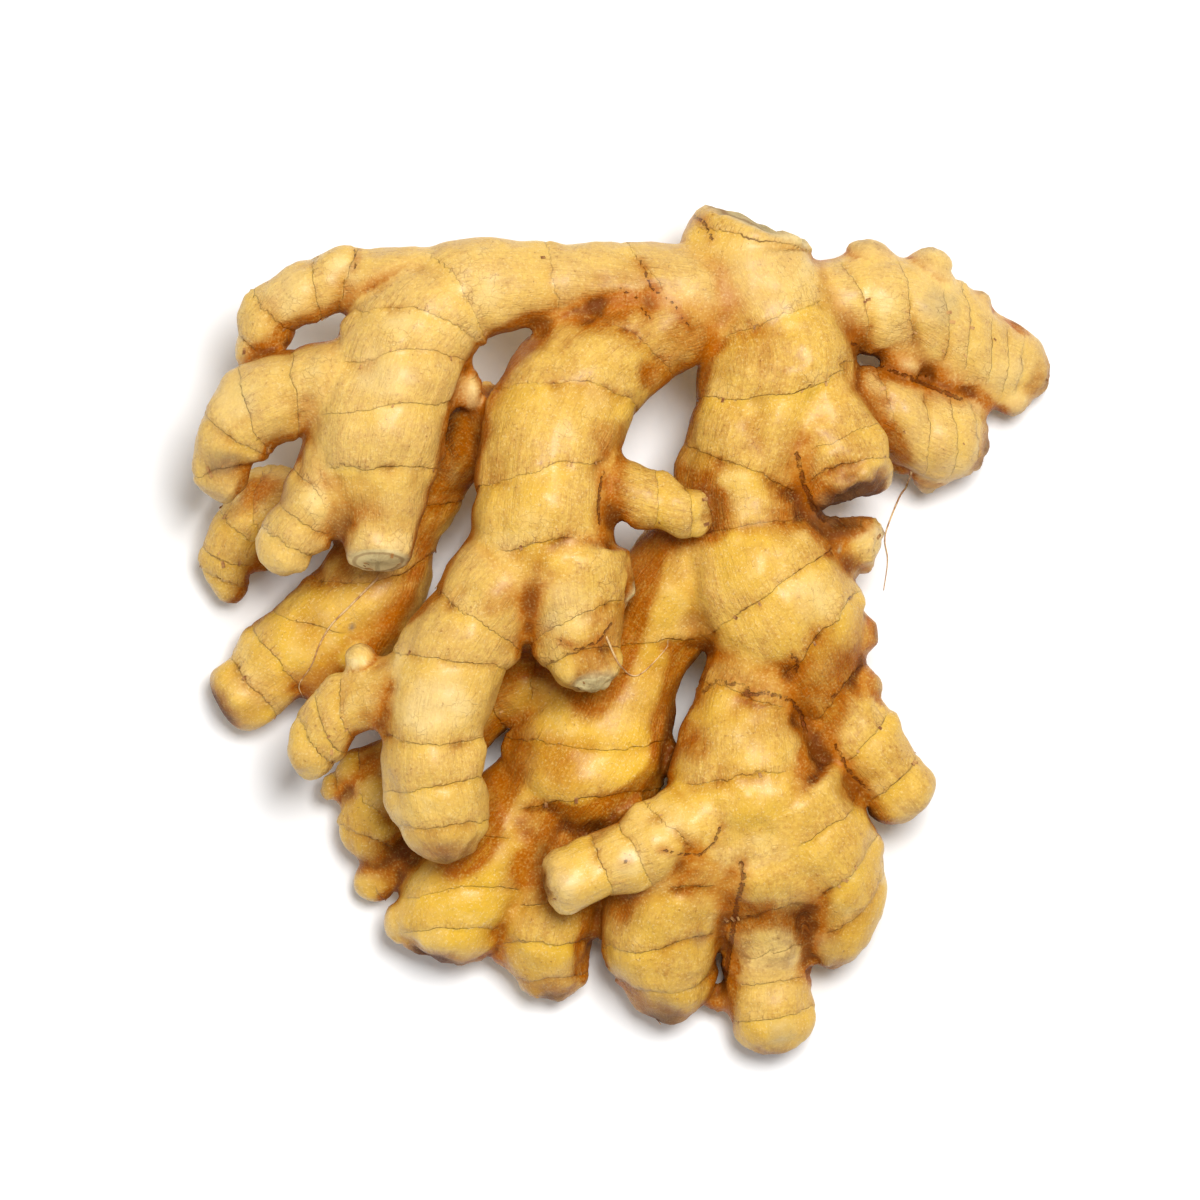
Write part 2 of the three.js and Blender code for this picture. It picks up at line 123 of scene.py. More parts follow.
LIMBS = {
    "trunk": branch(
        (34, 101, 29, 14.5), (31, 91, 29, 15.5), (37, 79, 30, 17.5), (40, 64, 31, 19.5), (34, 46, 31, 18),
        (31, 31, 30, 17), (36, 14, 29, 21), (44, -1, 28, 19.5), (52.5, -16, 27, 11), (63, -30.5, 24, 9.6),
        (75.6, -45.2, 18, 8.8), tip=0.7, flat=0.85, rings=(14, 16),
    ),
    "trunk_head_knob": branch((26, 95, 29, 9), (19.5, 98, 29, 5.5)),
    "trunk_stub": branch(
        (45, 59, 32, 13), (52.5, 45.5, 35, 12.5), (58, 33.5, 36.5, 12), tip=0.2, flat=0.9, rings=(12, 9),
    ),
    "trunk_bud": branch((52.5, 20.5, 28, 8), (66, 23, 24, 6), rings=(6, 5)),
    "trunk_bud_nub": branch((60, 21, 25, 5), (62.5, 13.5, 22, 3)),
    "trunk_knob_upper": branch((56, 0, 28, 7), (65.5, -2, 27, 5)),
    "trunk_knob_lower": branch((56, -13, 28, 6), (65.5, -15, 26, 4.6)),
    "right_finger": branch(
        (46, 81, 28, 11), (54, 81.5, 27, 11.5), (65, 81.5, 24, 12.7), (76, 78.5, 20, 12.1),
        (87.5, 72, 14, 11.5), (97.5, 67, 8.8, 10.8), (108, 62.5, 7, 7.5), flat=0.9, rings=(12, 7.5),
    ),
    "right_back_knob_1": branch((64, 82, 24, 8), (61.5, 97, 25, 5.5), rings=(9, 9)),
    "right_back_knob_2": branch((77, 80, 22, 7), (77.5, 96, 22, 5), rings=(10, 9)),
    "right_back_knob_3": branch((88, 76, 16, 6), (91.5, 84.5, 16, 4.5)),
    "right_back_knob_4": branch((97, 70, 11, 6), (100.5, 78, 11, 4.5)),
    "right_front_nub_1": branch((68, 76, 24, 6.5), (73, 62.5, 23, 4.5)),
    "right_front_nub_2": branch((82, 69, 19, 6), (83, 57.8, 16, 4.2)),
    "right_front_nub_3": branch((89, 65, 15, 5.5), (90.5, 54, 12, 3.8)),
    "right_front_nub_4": branch((98, 64, 11, 5.5), (101.5, 54.8, 9, 4.2)),
    "right_thumb": branch(
        (58, 60, 27, 7.5), (69, 55, 23, 9), (78, 50, 17, 11.7), (92, 45, 12, 10), flat=0.9, rings=(13, 8),
    ),
    "right_thumb_knob_1": branch((76, 53, 18, 7), (76.5, 62.5, 17, 4.5)),
    "right_thumb_knob_2": branch((79, 46, 14, 7), (78, 35, 11, 4.5)),
    "right_thumb_knob_3": branch((74, 49, 17, 7), (71, 39, 15, 4)),
    "upper_left_hand": branch(
        (31, 84, 31, 12), (17.5, 82, 33, 13), (5, 84.5, 36, 12), (-10, 86, 40, 10), (-25, 85.7, 43, 10.5),
        (-40, 83.5, 46, 13), (-51, 74, 47, 15.5), (-57, 59, 48, 16.5), (-60.5, 44, 48, 15.5),
        (-60.5, 31, 46.5, 11.8), (-60.2, 23, 46.5, 9.4), (-60, 16, 49, 8.6), tip=0.15, flat=0.9,
        rings=(24, 14.5),
    ),
    "upper_left_finger_1": branch(
        (-45, 84.5, 46, 10), (-61, 87, 45, 8), (-77.5, 85.2, 43, 7.6), (-86, 79.8, 41, 7.4),
        (-89.8, 72.6, 38, 6.4), (-92.5, 65, 36, 4), rings=(16, 12),
    ),
    "upper_left_finger_2": branch(
        (-61, 61, 47, 11), (-75, 61, 46, 10.5), (-89, 56, 44, 10), (-97, 49, 41, 9.3),
        (-99.3, 40.8, 38, 7.4), (-98.8, 33, 35, 4.8), rings=(17, 10),
    ),
    "upper_left_finger_3": branch(
        (-67.5, 44, 46, 11), (-75.5, 31, 45, 9.3), (-82, 22.5, 43, 7.8), (-84, 14.5, 41, 6), tip=0.8,
        rings=(14, 9),
    ),
    "upper_left_spur_1": branch(
        (-45.5, 70, 46, 7), (-39.5, 61, 45, 4.6), (-36, 54.5, 44, 2.5), rings=(10, 20),
    ),
    "upper_left_spur_2": branch((-51, 47.5, 46, 6.5), (-43.5, 43, 45, 3)),
    "centre_hand": branch(
        (17.5, 80, 34, 12), (5, 75, 36, 13.7), (-7, 65.5, 40, 16), (-16, 51, 44, 17.8),
        (-18.7, 36, 46, 17.5), (-19.5, 21, 46, 17), (-20, 8, 45, 11), flat=0.9, rings=(14, 22.5),
    ),
    "centre_hand_shoulder": branch((-3, 69, 37, 11), (4.5, 62, 34, 8.5)),
    "centre_long_finger": branch(
        (-20, 22.5, 46, 14), (-34, 6, 46, 13.3), (-43.5, -10, 45, 13.5), (-46.7, -25, 44, 12.7),
        (-45.5, -40, 42, 12.5), (-42, -57, 39, 10), rings=(15, 13.5),
    ),
    "centre_little_finger": branch(
        (-52.5, -15, 43, 9.5), (-66, -18, 40, 8), (-73.5, -25, 37, 7.4), (-77, -36, 34, 5), rings=(14, 8),
    ),
    "centre_little_bud": branch((-62, -12, 41, 5), (-67, -5, 43, 2.8)),
    "centre_stub": branch(
        (-13, 17.5, 46, 15.5), (-11, 3.5, 47, 13.2), (-9.3, -5, 48.5, 10.6), (-6.5, -13.8, 51, 6.2),
        tip=0.2, rings=(17, 9),
    ),
    "centre_stub_nub": branch((-5, 13.5, 46, 8.5), (4, 9.2, 45, 3.6)),
    "centre_side_finger": branch(
        (-9, 38, 46, 9), (5, 33, 48, 7.4), (16, 30.5, 48, 6.8), (22.2, 29.2, 47, 5.8), tip=0.7,
        rings=(14, 6.5),
    ),
    "lower_left_hand": branch(
        (-30, 53.7, 36, 10), (-42, 44.5, 27, 9.5), (-53, 29.5, 20, 10.5), (-62, 12.5, 15.5, 14),
        (-75.5, -0.5, 12, 12.5), (-90.5, -12.2, 10, 10), (-101.5, -20.5, 9.4, 9.4), tip=0.6, rings=(20, 13),
    ),
    "lower_left_back_finger": branch(
        (-55, 27.5, 20, 8.5), (-72.5, 31, 18, 8), (-87, 32, 16, 8.6), (-95.5, 24.5, 13, 8.6),
        (-99, 15.5, 10, 6.8), (-98, 7, 8, 2.8), rings=(16, 9),
    ),
    "lower_left_back_nub": branch((-92, 20, 12, 5), (-89, 14, 10, 2.2)),
    "lower_left_front_finger": branch(
        (-62.5, 5, 16, 11), (-69, -7.5, 13, 10), (-72.5, -24, 10, 7.5), rings=(12, 9),
    ),
    "lower_front_hand": branch(
        (25, 24, 27, 15), (11, 6, 25, 14.5), (1.5, -9.5, 23, 13.5), (-4, -25, 20, 18.5),
        (-12.5, -40, 18, 19), (-18, -51, 17, 14), flat=0.85, rings=(18, 14),
    ),
    "lower_front_finger_1": branch(
        (-20, -42.5, 17, 14), (-32, -55, 15, 14.3), (-41, -67.5, 13.3, 13.8), (-46, -82, 12, 12), tip=0.6,
        rings=(16, 11),
    ),
    "lower_front_nub_1": branch((-51, -73, 13, 7), (-58.7, -75.5, 11, 4)),
    "lower_front_nub_2": branch((-39, -78, 11, 6), (-35.5, -83.5, 9, 3)),
    "lower_front_finger_2": branch(
        (-10.5, -50, 17, 12.5), (-15.5, -65, 14, 11.7), (-18.5, -77.5, 11.7, 12.2),
        (-17.3, -87.5, 9.5, 9.3), (-16.8, -93, 9, 8), tip=0.7, rings=(12, 8),
    ),
    "lower_front_nub_3": branch((-25, -80, 11, 6), (-32.5, -83, 9, 3.6)),
    "lower_front_arm": branch(
        (-4, -17.5, 20, 12), (-24, -12, 18, 10), (-42.5, -22.5, 14, 10), (-55, -36, 13, 9), rings=(18, 11),
    ),
    "lower_front_spur_1": branch((-56, -34, 13, 8), (-68, -38, 10, 5.8), (-76, -40, 8, 3.3), rings=(9, 8)),
    "lower_front_spur_2": branch(
        (-54, -37.5, 13, 9), (-61.5, -47.5, 11, 10), (-62.5, -59.5, 8, 5.5), rings=(9, 8),
    ),
    "lower_front_spur_3": branch(
        (-42, -55, 14, 8), (-57, -60.7, 8, 5.6), (-67, -64.5, 6, 4.6), rings=(14, 8),
    ),
    "front_hand": branch(
        (39, -2, 29, 15), (31.5, -19, 29, 13.5), (31, -31, 29, 17.5), (31.5, -44, 28, 20),
        (32.5, -55, 26, 15), flat=0.85, rings=(13, 12),
    ),
    "front_palm": branch(
        (31, -40, 27, 17), (34, -56, 25.5, 16.5), (38, -72, 22.5, 14), flat=0.9, rings=(30, 30),
    ),
    "front_web": branch((50, -18, 26, 9), (53, -34, 22, 8), rings=(30, 20)),
    "front_finger_1": branch(
        (21, -47.5, 32, 12), (5, -55, 35, 9.6), (-7.5, -60, 36, 8.3), (-17.8, -64, 37, 7.2), tip=0.4,
        rings=(12, 8),
    ),
    "front_finger_2": branch(
        (24, -50, 28, 15), (14, -65, 23, 15), (10, -78.7, 17, 14.7), (12, -90, 12.5, 11.5),
        (12.5, -99.5, 11, 8.4), rings=(14, 8),
    ),
    "front_finger_2nub": branch((6, -84, 16, 6), (1, -89, 13, 3)),
    "front_finger_3": branch(
        (34, -55, 26, 13), (35.7, -72.5, 18, 10.7), (37.5, -87.5, 10.6, 11.2), (38.7, -106.2, 9, 9.6),
        tip=0.7, rings=(16, 8),
    ),
    "front_finger_3nub_1": branch((33, -90, 10, 5), (22, -95, 7, 2.6)),
    "front_finger_3nub_2": branch((33, -83, 18, 4.5), (28, -84, 18, 3.2)),
    "front_finger_4": branch(
        (40, -42.5, 28, 17), (49, -55, 24, 15.3), (55.5, -67.5, 19, 11.8), (52.5, -85, 13, 6.5), flat=0.9,
        rings=(13, 9),
    ),
}

# Scars that can be picked out on the larger limbs: distance along the limb, and how much further along
# the scar runs for each millimetre to the limb's right.
RINGS = {
    "trunk": ((3, 0.15), (26.5, 0.1), (45.5, 0.47), (64.5, -0.07), (78.5, -0.08), (95.5, 0.18), (113, 0.3),
              (127, 0.28), (139.5, 0.14), (152.5, 0.08)),
    "trunk_stub": ((16, -0.03), (22.5, -0.04)),
    "front_hand": ((16.5, 0.02), (34.5, 0.09)),
    "front_finger_1": ((9, 0.3), (19.5, 0.1), (28.5, 0)),
    "front_finger_2": ((13.5, 0.5), (29, 0.4), (42, -0.12)),
    "front_finger_3": ((20.5, -0.2), (34, -0.1), (46, 0.1)),
    "front_finger_4": ((9, -0.13), (22, 0.1), (36, 0.6)),
    "lower_front_hand": ((33, 0.67), (61.5, 0.52), (77, 0.76)),
    "lower_front_finger_1": ((12, 0.8), (28.5, 0.77), (40, 0.5)),
    "lower_front_finger_2": ((19, 0.34), (28.5, 0.19), (38, -0.12)),
    "centre_hand": ((20, 0.42), (38.5, 0.42), (60, 0.29), (76.5, 0.2)),
    "centre_stub": ((16, 0.3), (24.5, 0)),
    "centre_long_finger": ((25, 0), (36.5, 0.36), (57.5, 0), (68.5, 0.07), (78.5, -0.13)),
    "centre_little_finger": ((17.5, -0.43), (23.5, -0.53), (29, -0.47)),
    "centre_side_finger": ((9.5, 0.45), (19, 0.23), (27.5, 0.33)),
    "upper_left_hand": ((23, 0.91), (50.5, 0), (74, 0), (83, 0.46), (95, 0.5), (108.5, 0.39), (123, 0.09)),
    "upper_left_finger_1": ((22.5, -0.31), (30.5, 0), (43.5, 0), (53.5, -0.19)),
    "upper_left_finger_2": ((19, -0.24), (31, -0.27), (38, 0.2), (48.5, 0.37)),
    "upper_left_finger_3": ((12.5, -0.28), (19.5, 0.13), (26, 0.09)),
    "right_finger": ((12.5, 0.21), (25, 0.34), (35, 0.49), (41, 0.51), (49, 0.45), (55, 0.41), (60, 0.31)),
    "right_thumb": ((9, 0.8), (19, 0.64), (28.5, 0.47), (36, 0.5)),
    "lower_left_hand": ((34, 0.8), (55, 0.97), (72, 1), (89, 0), (98, 0)),
    "lower_left_back_finger": ((38, -0.75), (43, 0), (51.5, 0), (57.5, -0.27)),
    "lower_left_front_finger": ((11, 0.4), (22, 0.19)),
}

# Limbs that end in pale flesh, and limbs that end in a rough break.
CUT_TIPS = ("upper_left_hand", "centre_stub")
BROKEN_TIPS = ("centre_stub", "trunk_stub")

# How fresh and yellow, and how pale, the skin of a limb is. The rest are in between.
FRESH = {
    "lower_front_": 0.75, "lower_left_front": 0.6, "lower_left_hand": 0.45, "front_hand": 0.3,
    "front_finger_1": 0.55, "front_finger": 0.35, "trunk": 0.25, "centre_hand": 0.3, "centre_stub": 0.1,
    "centre_long": 0.3, "centre_little": 0.35, "upper_left": 0.15, "right_": 0.2,
}
PALE = {
    "upper_left": 0.5, "right_": 0.55, "centre_long": 0.4, "centre_little": 0.35, "front_finger_1": 0.4,
    "lower_left_back": 0.3, "lower_left_hand": 0.25, "centre_hand": 0.25, "trunk": 0.2, "front_finger": 0.2,
}

# How clearly the growth rings of a limb are drawn.
LINED = {
    "trunk": 1.0, "front_hand": 0.9, "centre_hand": 0.9, "upper_left": 0.18, "right_": 0.28,
    "lower_front_hand": 0.8, "centre_long": 0.55, "front_finger": 0.45,
}

# Patches seen from above, as x, y, radius and strength: fresh yellow skin, pale skin, skin where the
# painted shade is lifted, painted shade in folds between limbs, and weathered grey skin.
YELLOW_MARKS = (
    (-77.5, 0, 11, 1), (32.5, -40, 11, 0.5), (-12, -30, 10, 0.8), (-62.5, 37.5, 9, 0.35), (-20, 35, 8, 0.3),
    (-37.5, -65, 12, 1), (5, -33, 11, 0.9), (10, -42, 10, 1), (-66.3, 89.5, 6.5, 0.4),
    (-85.5, 73.7, 5.5, 0.5), (-95.5, 45, 5.5, 0.5), (-74.5, -1.5, 7, 0.6), (-73.8, -38.8, 4, 0.6),
    (-61.3, -55.5, 4, 0.6), (30, 17.5, 12.5, 0.45), (-15, 17.5, 7.5, 0.3), (17.5, 37.5, 7.5, 0.25),
    (-11.3, -55, 7.5, 0.5), (17.5, -45, 10, 0.4), (-65, 32.5, 10, 0.35), (45, -2.5, 10, 0.25),
    (10, -72.5, 10, 0.25), (-45, -40, 10, 0.25), (-80, 47.5, 6.25, 0.3),
)
PALE_MARKS = (
    (72, 66, 4, 0.5), (82.5, 61, 4, 0.5), (90, 57, 4, 0.5), (101, 57, 5, 0.4), (80, 84, 9, 0.3),
    (1.3, -58, 5, 0.7), (38.7, -86, 12, 0.3), (-47.5, -17.5, 10, 0.6), (-95, 57.5, 8, 0.4),
    (-12.5, 5, 8, 0.4), (-57.5, 62.5, 10, 0.4), (-82, 85, 8, 0.4), (50, 7.5, 8, 0.3), (37, 90, 17, 0.45),
    (-38, 58, 6, 0.6), (65, 21, 9, 0.5), (-68.8, 90.5, 4.5, 0.5), (-65.8, -8, 2.25, 0.9),
    (-13, -63.8, 4, 0.6), (-60, 16, 4.5, 0.3), (97.5, 65, 7.5, 0.3), (85, 40, 5, 0.3),
    (-93.8, -15, 6.5, 0.35), (41.2, -101.3, 5.5, 0.3), (-15, -88.8, 6.5, 0.25), (-47.5, -78.8, 5.5, 0.2),
    (71.2, -45, 3.5, 0.2),
)
# Patches that lift the painted shade.
SHADE_LIFT_MARKS = (
    (26, 14, 13, 0.7), (16, 2, 9, 0.45), (31, 32, 11, 0.6), (64, 21, 13, 1), (61, 13, 6, 0.6),
    (-38, 58, 8, 0.9), (52, 84, 12, 0.6), (-71, 28, 8, 0.5), (34.6, 57, 7, 0.8), (48.5, 56.5, 7, 0.8),
    (62, -24, 9, 0.5), (-66, -7, 5, 1), (44, 78, 8, 0.4), (98, 66, 9, 0.5), (75, 70, 7, 0.4),
    (-60, 20, 11, 0.8), (34, -51, 15, 1), (42, -62, 10, 0.9), (26, -46, 9, 0.8), (-62.5, 37.5, 12, 0.6),
    (38.7, -84, 10, 0.4), (-12.5, 5, 8, 0.4), (-95, 57.5, 8, 0.4), (5, -40, 9, 0.5), (-35, 52.5, 5, 0.4),
)
# Patches of painted shade in folds between limbs.
PAINTED_SHADE_MARKS = (
    (35, 70, 9, 0.25), (17.5, 73.8, 10, 0.65), (-30, 7.5, 6, 0.5), (-15, -32.5, 10, 0.7), (5, 85, 11, 0.2),
    (48, 35, 5, 0.7), (51, 31, 5, 0.6), (-77.5, 0, 9, 0.35), (14, 66, 7, 0.5), (17.5, -27.5, 7, 0.75),
    (30, -60, 4, 0.7), (8.8, 62.5, 6, 0.8), (-2.5, 47.5, 6, 0.55),
)
DARK_MARKS = (
    (80.7, 81.2, 6.5, 0.35), (-99.5, 41, 5.5, 0.55), (-67.5, 0.5, 1.25, 1), (57.5, 33.7, 7.5, 0.25),
    (51, 29.5, 5, 0.4), (65, 38, 5, 0.2), (-6.3, -12.5, 1.75, 1), (20, -77.5, 3, 0.3), (11, -96, 6, 0.35),
    (52.5, -80, 5, 0.3), (40, -102, 5, 0.25), (-17.5, 2.5, 5, 0.2),
)

# Root hairs seen from above: radius and points.
HAIRS = (
    (0.28, ((73.5, 40), (73, 36.5), (71.2, 33.7), (68.2, 26.2), (67.5, 22.5), (68.2, 17.5), (67.2, 10))),
    (0.3, ((-60.5, 13.2), (-67.5, 6.2), (-72.5, 1.2), (-75.5, -3.8), (-77.5, -8.8), (-80.8, -13.8),
           (-80, -17))),
    (0.3, ((-3.5, -1.5), (0, -8.8), (4.5, -11.3), (11.2, -5), (12, -2.5))),
)

# Cracks, folds and small scars seen from above: width, then points.
SCARS = (
    (1, (20.8, -15.5), (23.8, -12.8), (28.8, -13.5), (32, -14.5), (30.2, -16.5), (36.2, -15.5), (42.5, -17.5),
     (45, -20.5), (46.5, -25.5)),
    (0.7, (-4, 39.5), (-5, 35), (-5.5, 30), (-5, 26)),
    (1.2, (30.2, -58), (30.8, -62), (29.4, -68), (28, -78), (26.5, -88)),
    (0.65, (10, -54.5), (15, -55.8), (20, -56.2), (23.5, -53), (25, -49)),
    (0.65, (-65.8, 94.5), (-65.5, 92), (-65.8, 89.5)),
    (0.65, (5, 50), (8.8, 53), (13, 54.5), (17.5, 59.5)),
    (0.65, (5, 92), (8, 85), (13, 81.2), (17.5, 75)),
    (0.9, (42.5, -6.2), (44.5, -8), (43.5, -10.5)),
    (0.9, (18, 103.8), (20.8, 102), (23, 97.5)),
    (0.65, (0, 85), (4, 82.5), (7.5, 77)),
    (0.9, (53.8, -28.8), (57.5, -35.5), (62.5, -40.5)),
    (0.65, (-15, -2.5), (-10.5, -5), (-5, -2.5), (-2, 2)),
    (1.1, (44, 44), (45.5, 37), (48, 31), (51, 27.5)),
    (1, (58, 72), (66, 66), (76, 62), (86, 58)),
    (0.8, (0.3, -58.4), (2.3, -57.4)),
)


def spline(points, count):
    """A smooth curve through points, count steps to each stretch."""
    points = np.asarray(points, float)
    ends = np.vstack([2 * points[0] - points[1], points, 2 * points[-1] - points[-2]])
    stretches = []
    for i in range(len(points) - 1):
        before, start, stop, after = ends[i:i + 4]
        t = np.linspace(0, 1, count, endpoint=i == len(points) - 2)[:, None]
        stretches.append(0.5 * (
            2 * start + (stop - before) * t + (2 * before - 5 * start + 4 * stop - after) * t ** 2
            + (3 * start - before - 3 * stop + after) * t ** 3
        ))
    return np.vstack(stretches)


def unit(vectors):
    """The same vectors with length one."""
    return vectors / np.maximum(np.linalg.norm(vectors, axis=-1, keepdims=True), 1e-12)


class Limb:
    """One limb's spine, sampled along its length in millimetres."""

    def __init__(self, name):
        points, self.tip, self.flat, rings = LIMBS[name]
        self.name = name
        dense = spline(points, CURVE_STEPS)
        dense[:, :3] += CENTRING
        lengths = np.linalg.norm(np.diff(dense[:, :3], axis=0), axis=1)
        travelled = np.concatenate([[0], np.cumsum(lengths)])
        self.length = travelled[-1]
        self.cap = self.tip * dense[-1, 3]
        straight = self.length - self.cap
        body = np.linspace(0, straight, max(3, int(straight / SPINE_STEP)), endpoint=False)
        rounded = self.length - self.cap * (1 - np.sin(np.linspace(0, TIP_TURN, TIP_STEPS) * math.pi / 2))
        self.station = np.concatenate([body, rounded])
        sampled = np.stack([np.interp(self.station, travelled, column) for column in dense.T], 1)
        self.centre = sampled[:, :3]
        past = np.clip((self.station - self.length + self.cap) / self.cap, 0, 1)
        self.radius = sampled[:, 3] * np.sqrt(1 - past ** 2)
        self.girth = sampled[:, 3]
        self.along = unit(np.gradient(self.centre, self.station, axis=0))
        self.across = unit(np.cross(self.along, (0, 0, 1)))
        self.over = np.cross(self.across, self.along)
        self.drop = np.full(len(self.station), self.flat - 1)
        self.rings = RINGS.get(name) or [
            (place, 0.15 * math.sin(7 * place + len(name)))
            for place in np.arange(rings[0], self.length - 1, rings[1])
        ]


def joined(limbs, key):
    """One list of a value at every sample of every limb."""
    return np.concatenate([getattr(limb, key) for limb in limbs])


def read_rows(items, field, width, kind=float):
    """A field of a mesh's elements as rows of numbers."""
    values = np.empty(len(items) * width, kind)
    items.foreach_get(field, values)
    return values.reshape(-1, width)


def store(mesh, name, values):
    """Keeps a value or a vector at every point of a mesh."""
    kind, field = ("FLOAT_VECTOR", "vector") if values.ndim > 1 else ("FLOAT", "value")
    attribute = mesh.attributes.new(name, kind, "POINT")
    attribute.data.foreach_set(field, values.astype(np.float32).ravel())


def lumps(points, size, seed):
    """Smooth noise from -1 to 1 over points, with features of about that size."""
    cell = np.floor(points / size).astype(np.int64)
    part = points / size - cell
    part = part ** 3 * (part * (part * 6 - 15) + 10)
    total = np.zeros(len(points))
    for corner in np.ndindex(2, 2, 2):
        lattice = cell + np.array(corner)
        mixed = (np.bitwise_xor.reduce(lattice * HASH_STRIDES, axis=1) ^ seed * HASH_SEED) & HASH_MASK
        mixed = (mixed ^ (mixed >> 13)) * HASH_MIX & HASH_MASK
        value = ((mixed ^ (mixed >> 16)) & 0xFFFF) / 32767.5 - 1
        total += value * np.prod(np.where(corner, part, 1 - part), axis=1)
    return total


def ease(values, low, high):
    """0 below low, 1 above high and a smooth step between."""
    t = np.clip((values - low) / (high - low), 0, 1)
    return t * t * (3 - 2 * t)


class Skin:
    """The vertices of a mesh in millimetres, with the neighbours that smoothing needs."""

    def __init__(self, mesh):
        self.mesh = mesh
        self.count = len(mesh.vertices)
        self.place = read_rows(mesh.vertices, "co", 3) / MM
        self.edges = read_rows(mesh.edges, "vertices", 2, np.int64)
        self.degree = np.maximum(np.bincount(self.edges.ravel(), minlength=self.count), 1)
        mesh.calc_loop_triangles()
        self.triangles = read_rows(mesh.loop_triangles, "vertices", 3, np.int64)

    def blurred(self, values, passes=1, share=1.0):
        """Values averaged with their neighbours' that many times."""
        wide = values.reshape(self.count, -1)
        first, second = self.edges.T
        for _ in range(passes):
            mean = np.stack([
                np.bincount(first, column[second], self.count)
                + np.bincount(second, column[first], self.count)
                for column in wide.T
            ], 1) / self.degree[:, None]
            wide = wide + share * (mean - wide)
        return wide.reshape(values.shape)

    def normals(self):
        """Outward directions at the vertices."""
        a, b, c = (self.place[self.triangles[:, k]] for k in range(3))
        facing = np.cross(b - a, c - a)
        total = np.stack([
            sum(np.bincount(self.triangles[:, k], facing[:, axis], self.count) for k in range(3))
            for axis in range(3)
        ], 1)
        return unit(total)

    def store(self, name, values):
        """Keeps values on the mesh for its material to read."""
        store(self.mesh, name, values)

    def write(self):
        """Puts the vertices back into the mesh, in metres."""
        self.mesh.vertices.foreach_set("co", (self.place * MM).astype(np.float32).ravel())
        self.mesh.update()


class Growth:
    """Where each point of the skin lies on the limb that carries it."""

    def __init__(self, skin, limbs):
        self.limbs = limbs
        owner = np.repeat(np.arange(len(limbs)), [len(limb.station) for limb in limbs])
        centre, girth = joined(limbs, "centre"), joined(limbs, "girth")
        nearest = np.empty(skin.count, np.int64)
        for start in range(0, skin.count, MATCH_CHUNK):
            chunk = skin.place[start:start + MATCH_CHUNK]
            square = (chunk ** 2).sum(1)[:, None] - 2 * chunk @ centre.T + (centre ** 2).sum(1)
            nearest[start:start + MATCH_CHUNK] = (np.sqrt(np.maximum(square, 0)) - girth).argmin(1)
        station, along, across, over = (
            joined(limbs, key)[nearest] for key in ("station", "along", "across", "over")
        )
        flat, length = (
            np.array([getattr(limb, key) for limb in limbs])[owner[nearest]] for key in ("flat", "length")
        )
        away = skin.place - centre[nearest]
        self.sample = nearest
        self.owner = owner[nearest]
        self.girth = girth[nearest]
        self.station = station + (away * along).sum(1)
        self.right = (away * across).sum(1)
        self.up = (away * over).sum(1) / flat
        self.left_over = length - self.station
        self.reach = np.hypot(self.right, self.up) / self.girth

    def by_name(self, table, otherwise):
        """A value for every point from a table of name beginnings, the first that fits."""
        values = [
            next((value for start, value in table.items() if limb.name.startswith(start)), otherwise)
            for limb in self.limbs
        ]
        return np.array(values)[self.owner]

    def ring_turns(self, wander):
        """How far each point is from one ring to the next, and the distance between them."""
        turn, gap = np.zeros(len(self.owner)), np.full(len(self.owner), 20.0)
        for i, limb in enumerate(self.limbs):
            mine = np.flatnonzero(self.owner == i)
            places = np.array([(-RING_BEFORE, 0.0), *limb.rings, (limb.length + RING_AFTER, 0.0)])
            here = self.station[mine, None] + wander[mine, None]
            past = here - places[:, 0] - self.right[mine, None] * places[:, 1]
            last = np.clip((past >= 0).sum(1) - 1, 0, len(places) - 2)
            rows = np.arange(len(mine))
            since, until = past[rows, last], -past[rows, last + 1]
            gap[mine] = np.clip(since + until, 2.5, 80)
            turn[mine] = np.where((since >= 0) & (until >= 0), np.clip(since / gap[mine], 0, 1), 0.5)
        return turn, gap

    def buds(self):
        """A small swelling at the side of each ring, left and right in turn."""
        rise = np.zeros(len(self.owner))
        angle = np.arctan2(self.right, self.up)
        for i, limb in enumerate(self.limbs):
            mine = np.flatnonzero(self.owner == i)
            for k, (place, slope) in enumerate(limb.rings):
                past = self.station[mine] - place - self.right[mine] * slope - BUD_PAST
                round_it = (angle[mine] - (BUD_TURN if (i + k) % 2 else -BUD_TURN)) * self.girth[mine]
                rise[mine] += np.exp(-(past ** 2 + round_it ** 2) / BUD_BREADTH)
        return np.minimum(rise, BUD_LIMIT)


def add_node(tree, kind, sockets, settings):
    """A new node: its settings first, then its sockets, by name or number, as values or as links."""
    made = tree.nodes.new(kind)
    for name, value in settings.items():
        setattr(made, name, value)
    for key, value in sockets.items():
        if isinstance(value, Shade):
            value = value.socket
        if isinstance(value, bpy.types.NodeSocket):
            tree.links.new(value, made.inputs[key])
        else:
            made.inputs[key].default_value = value
    return made


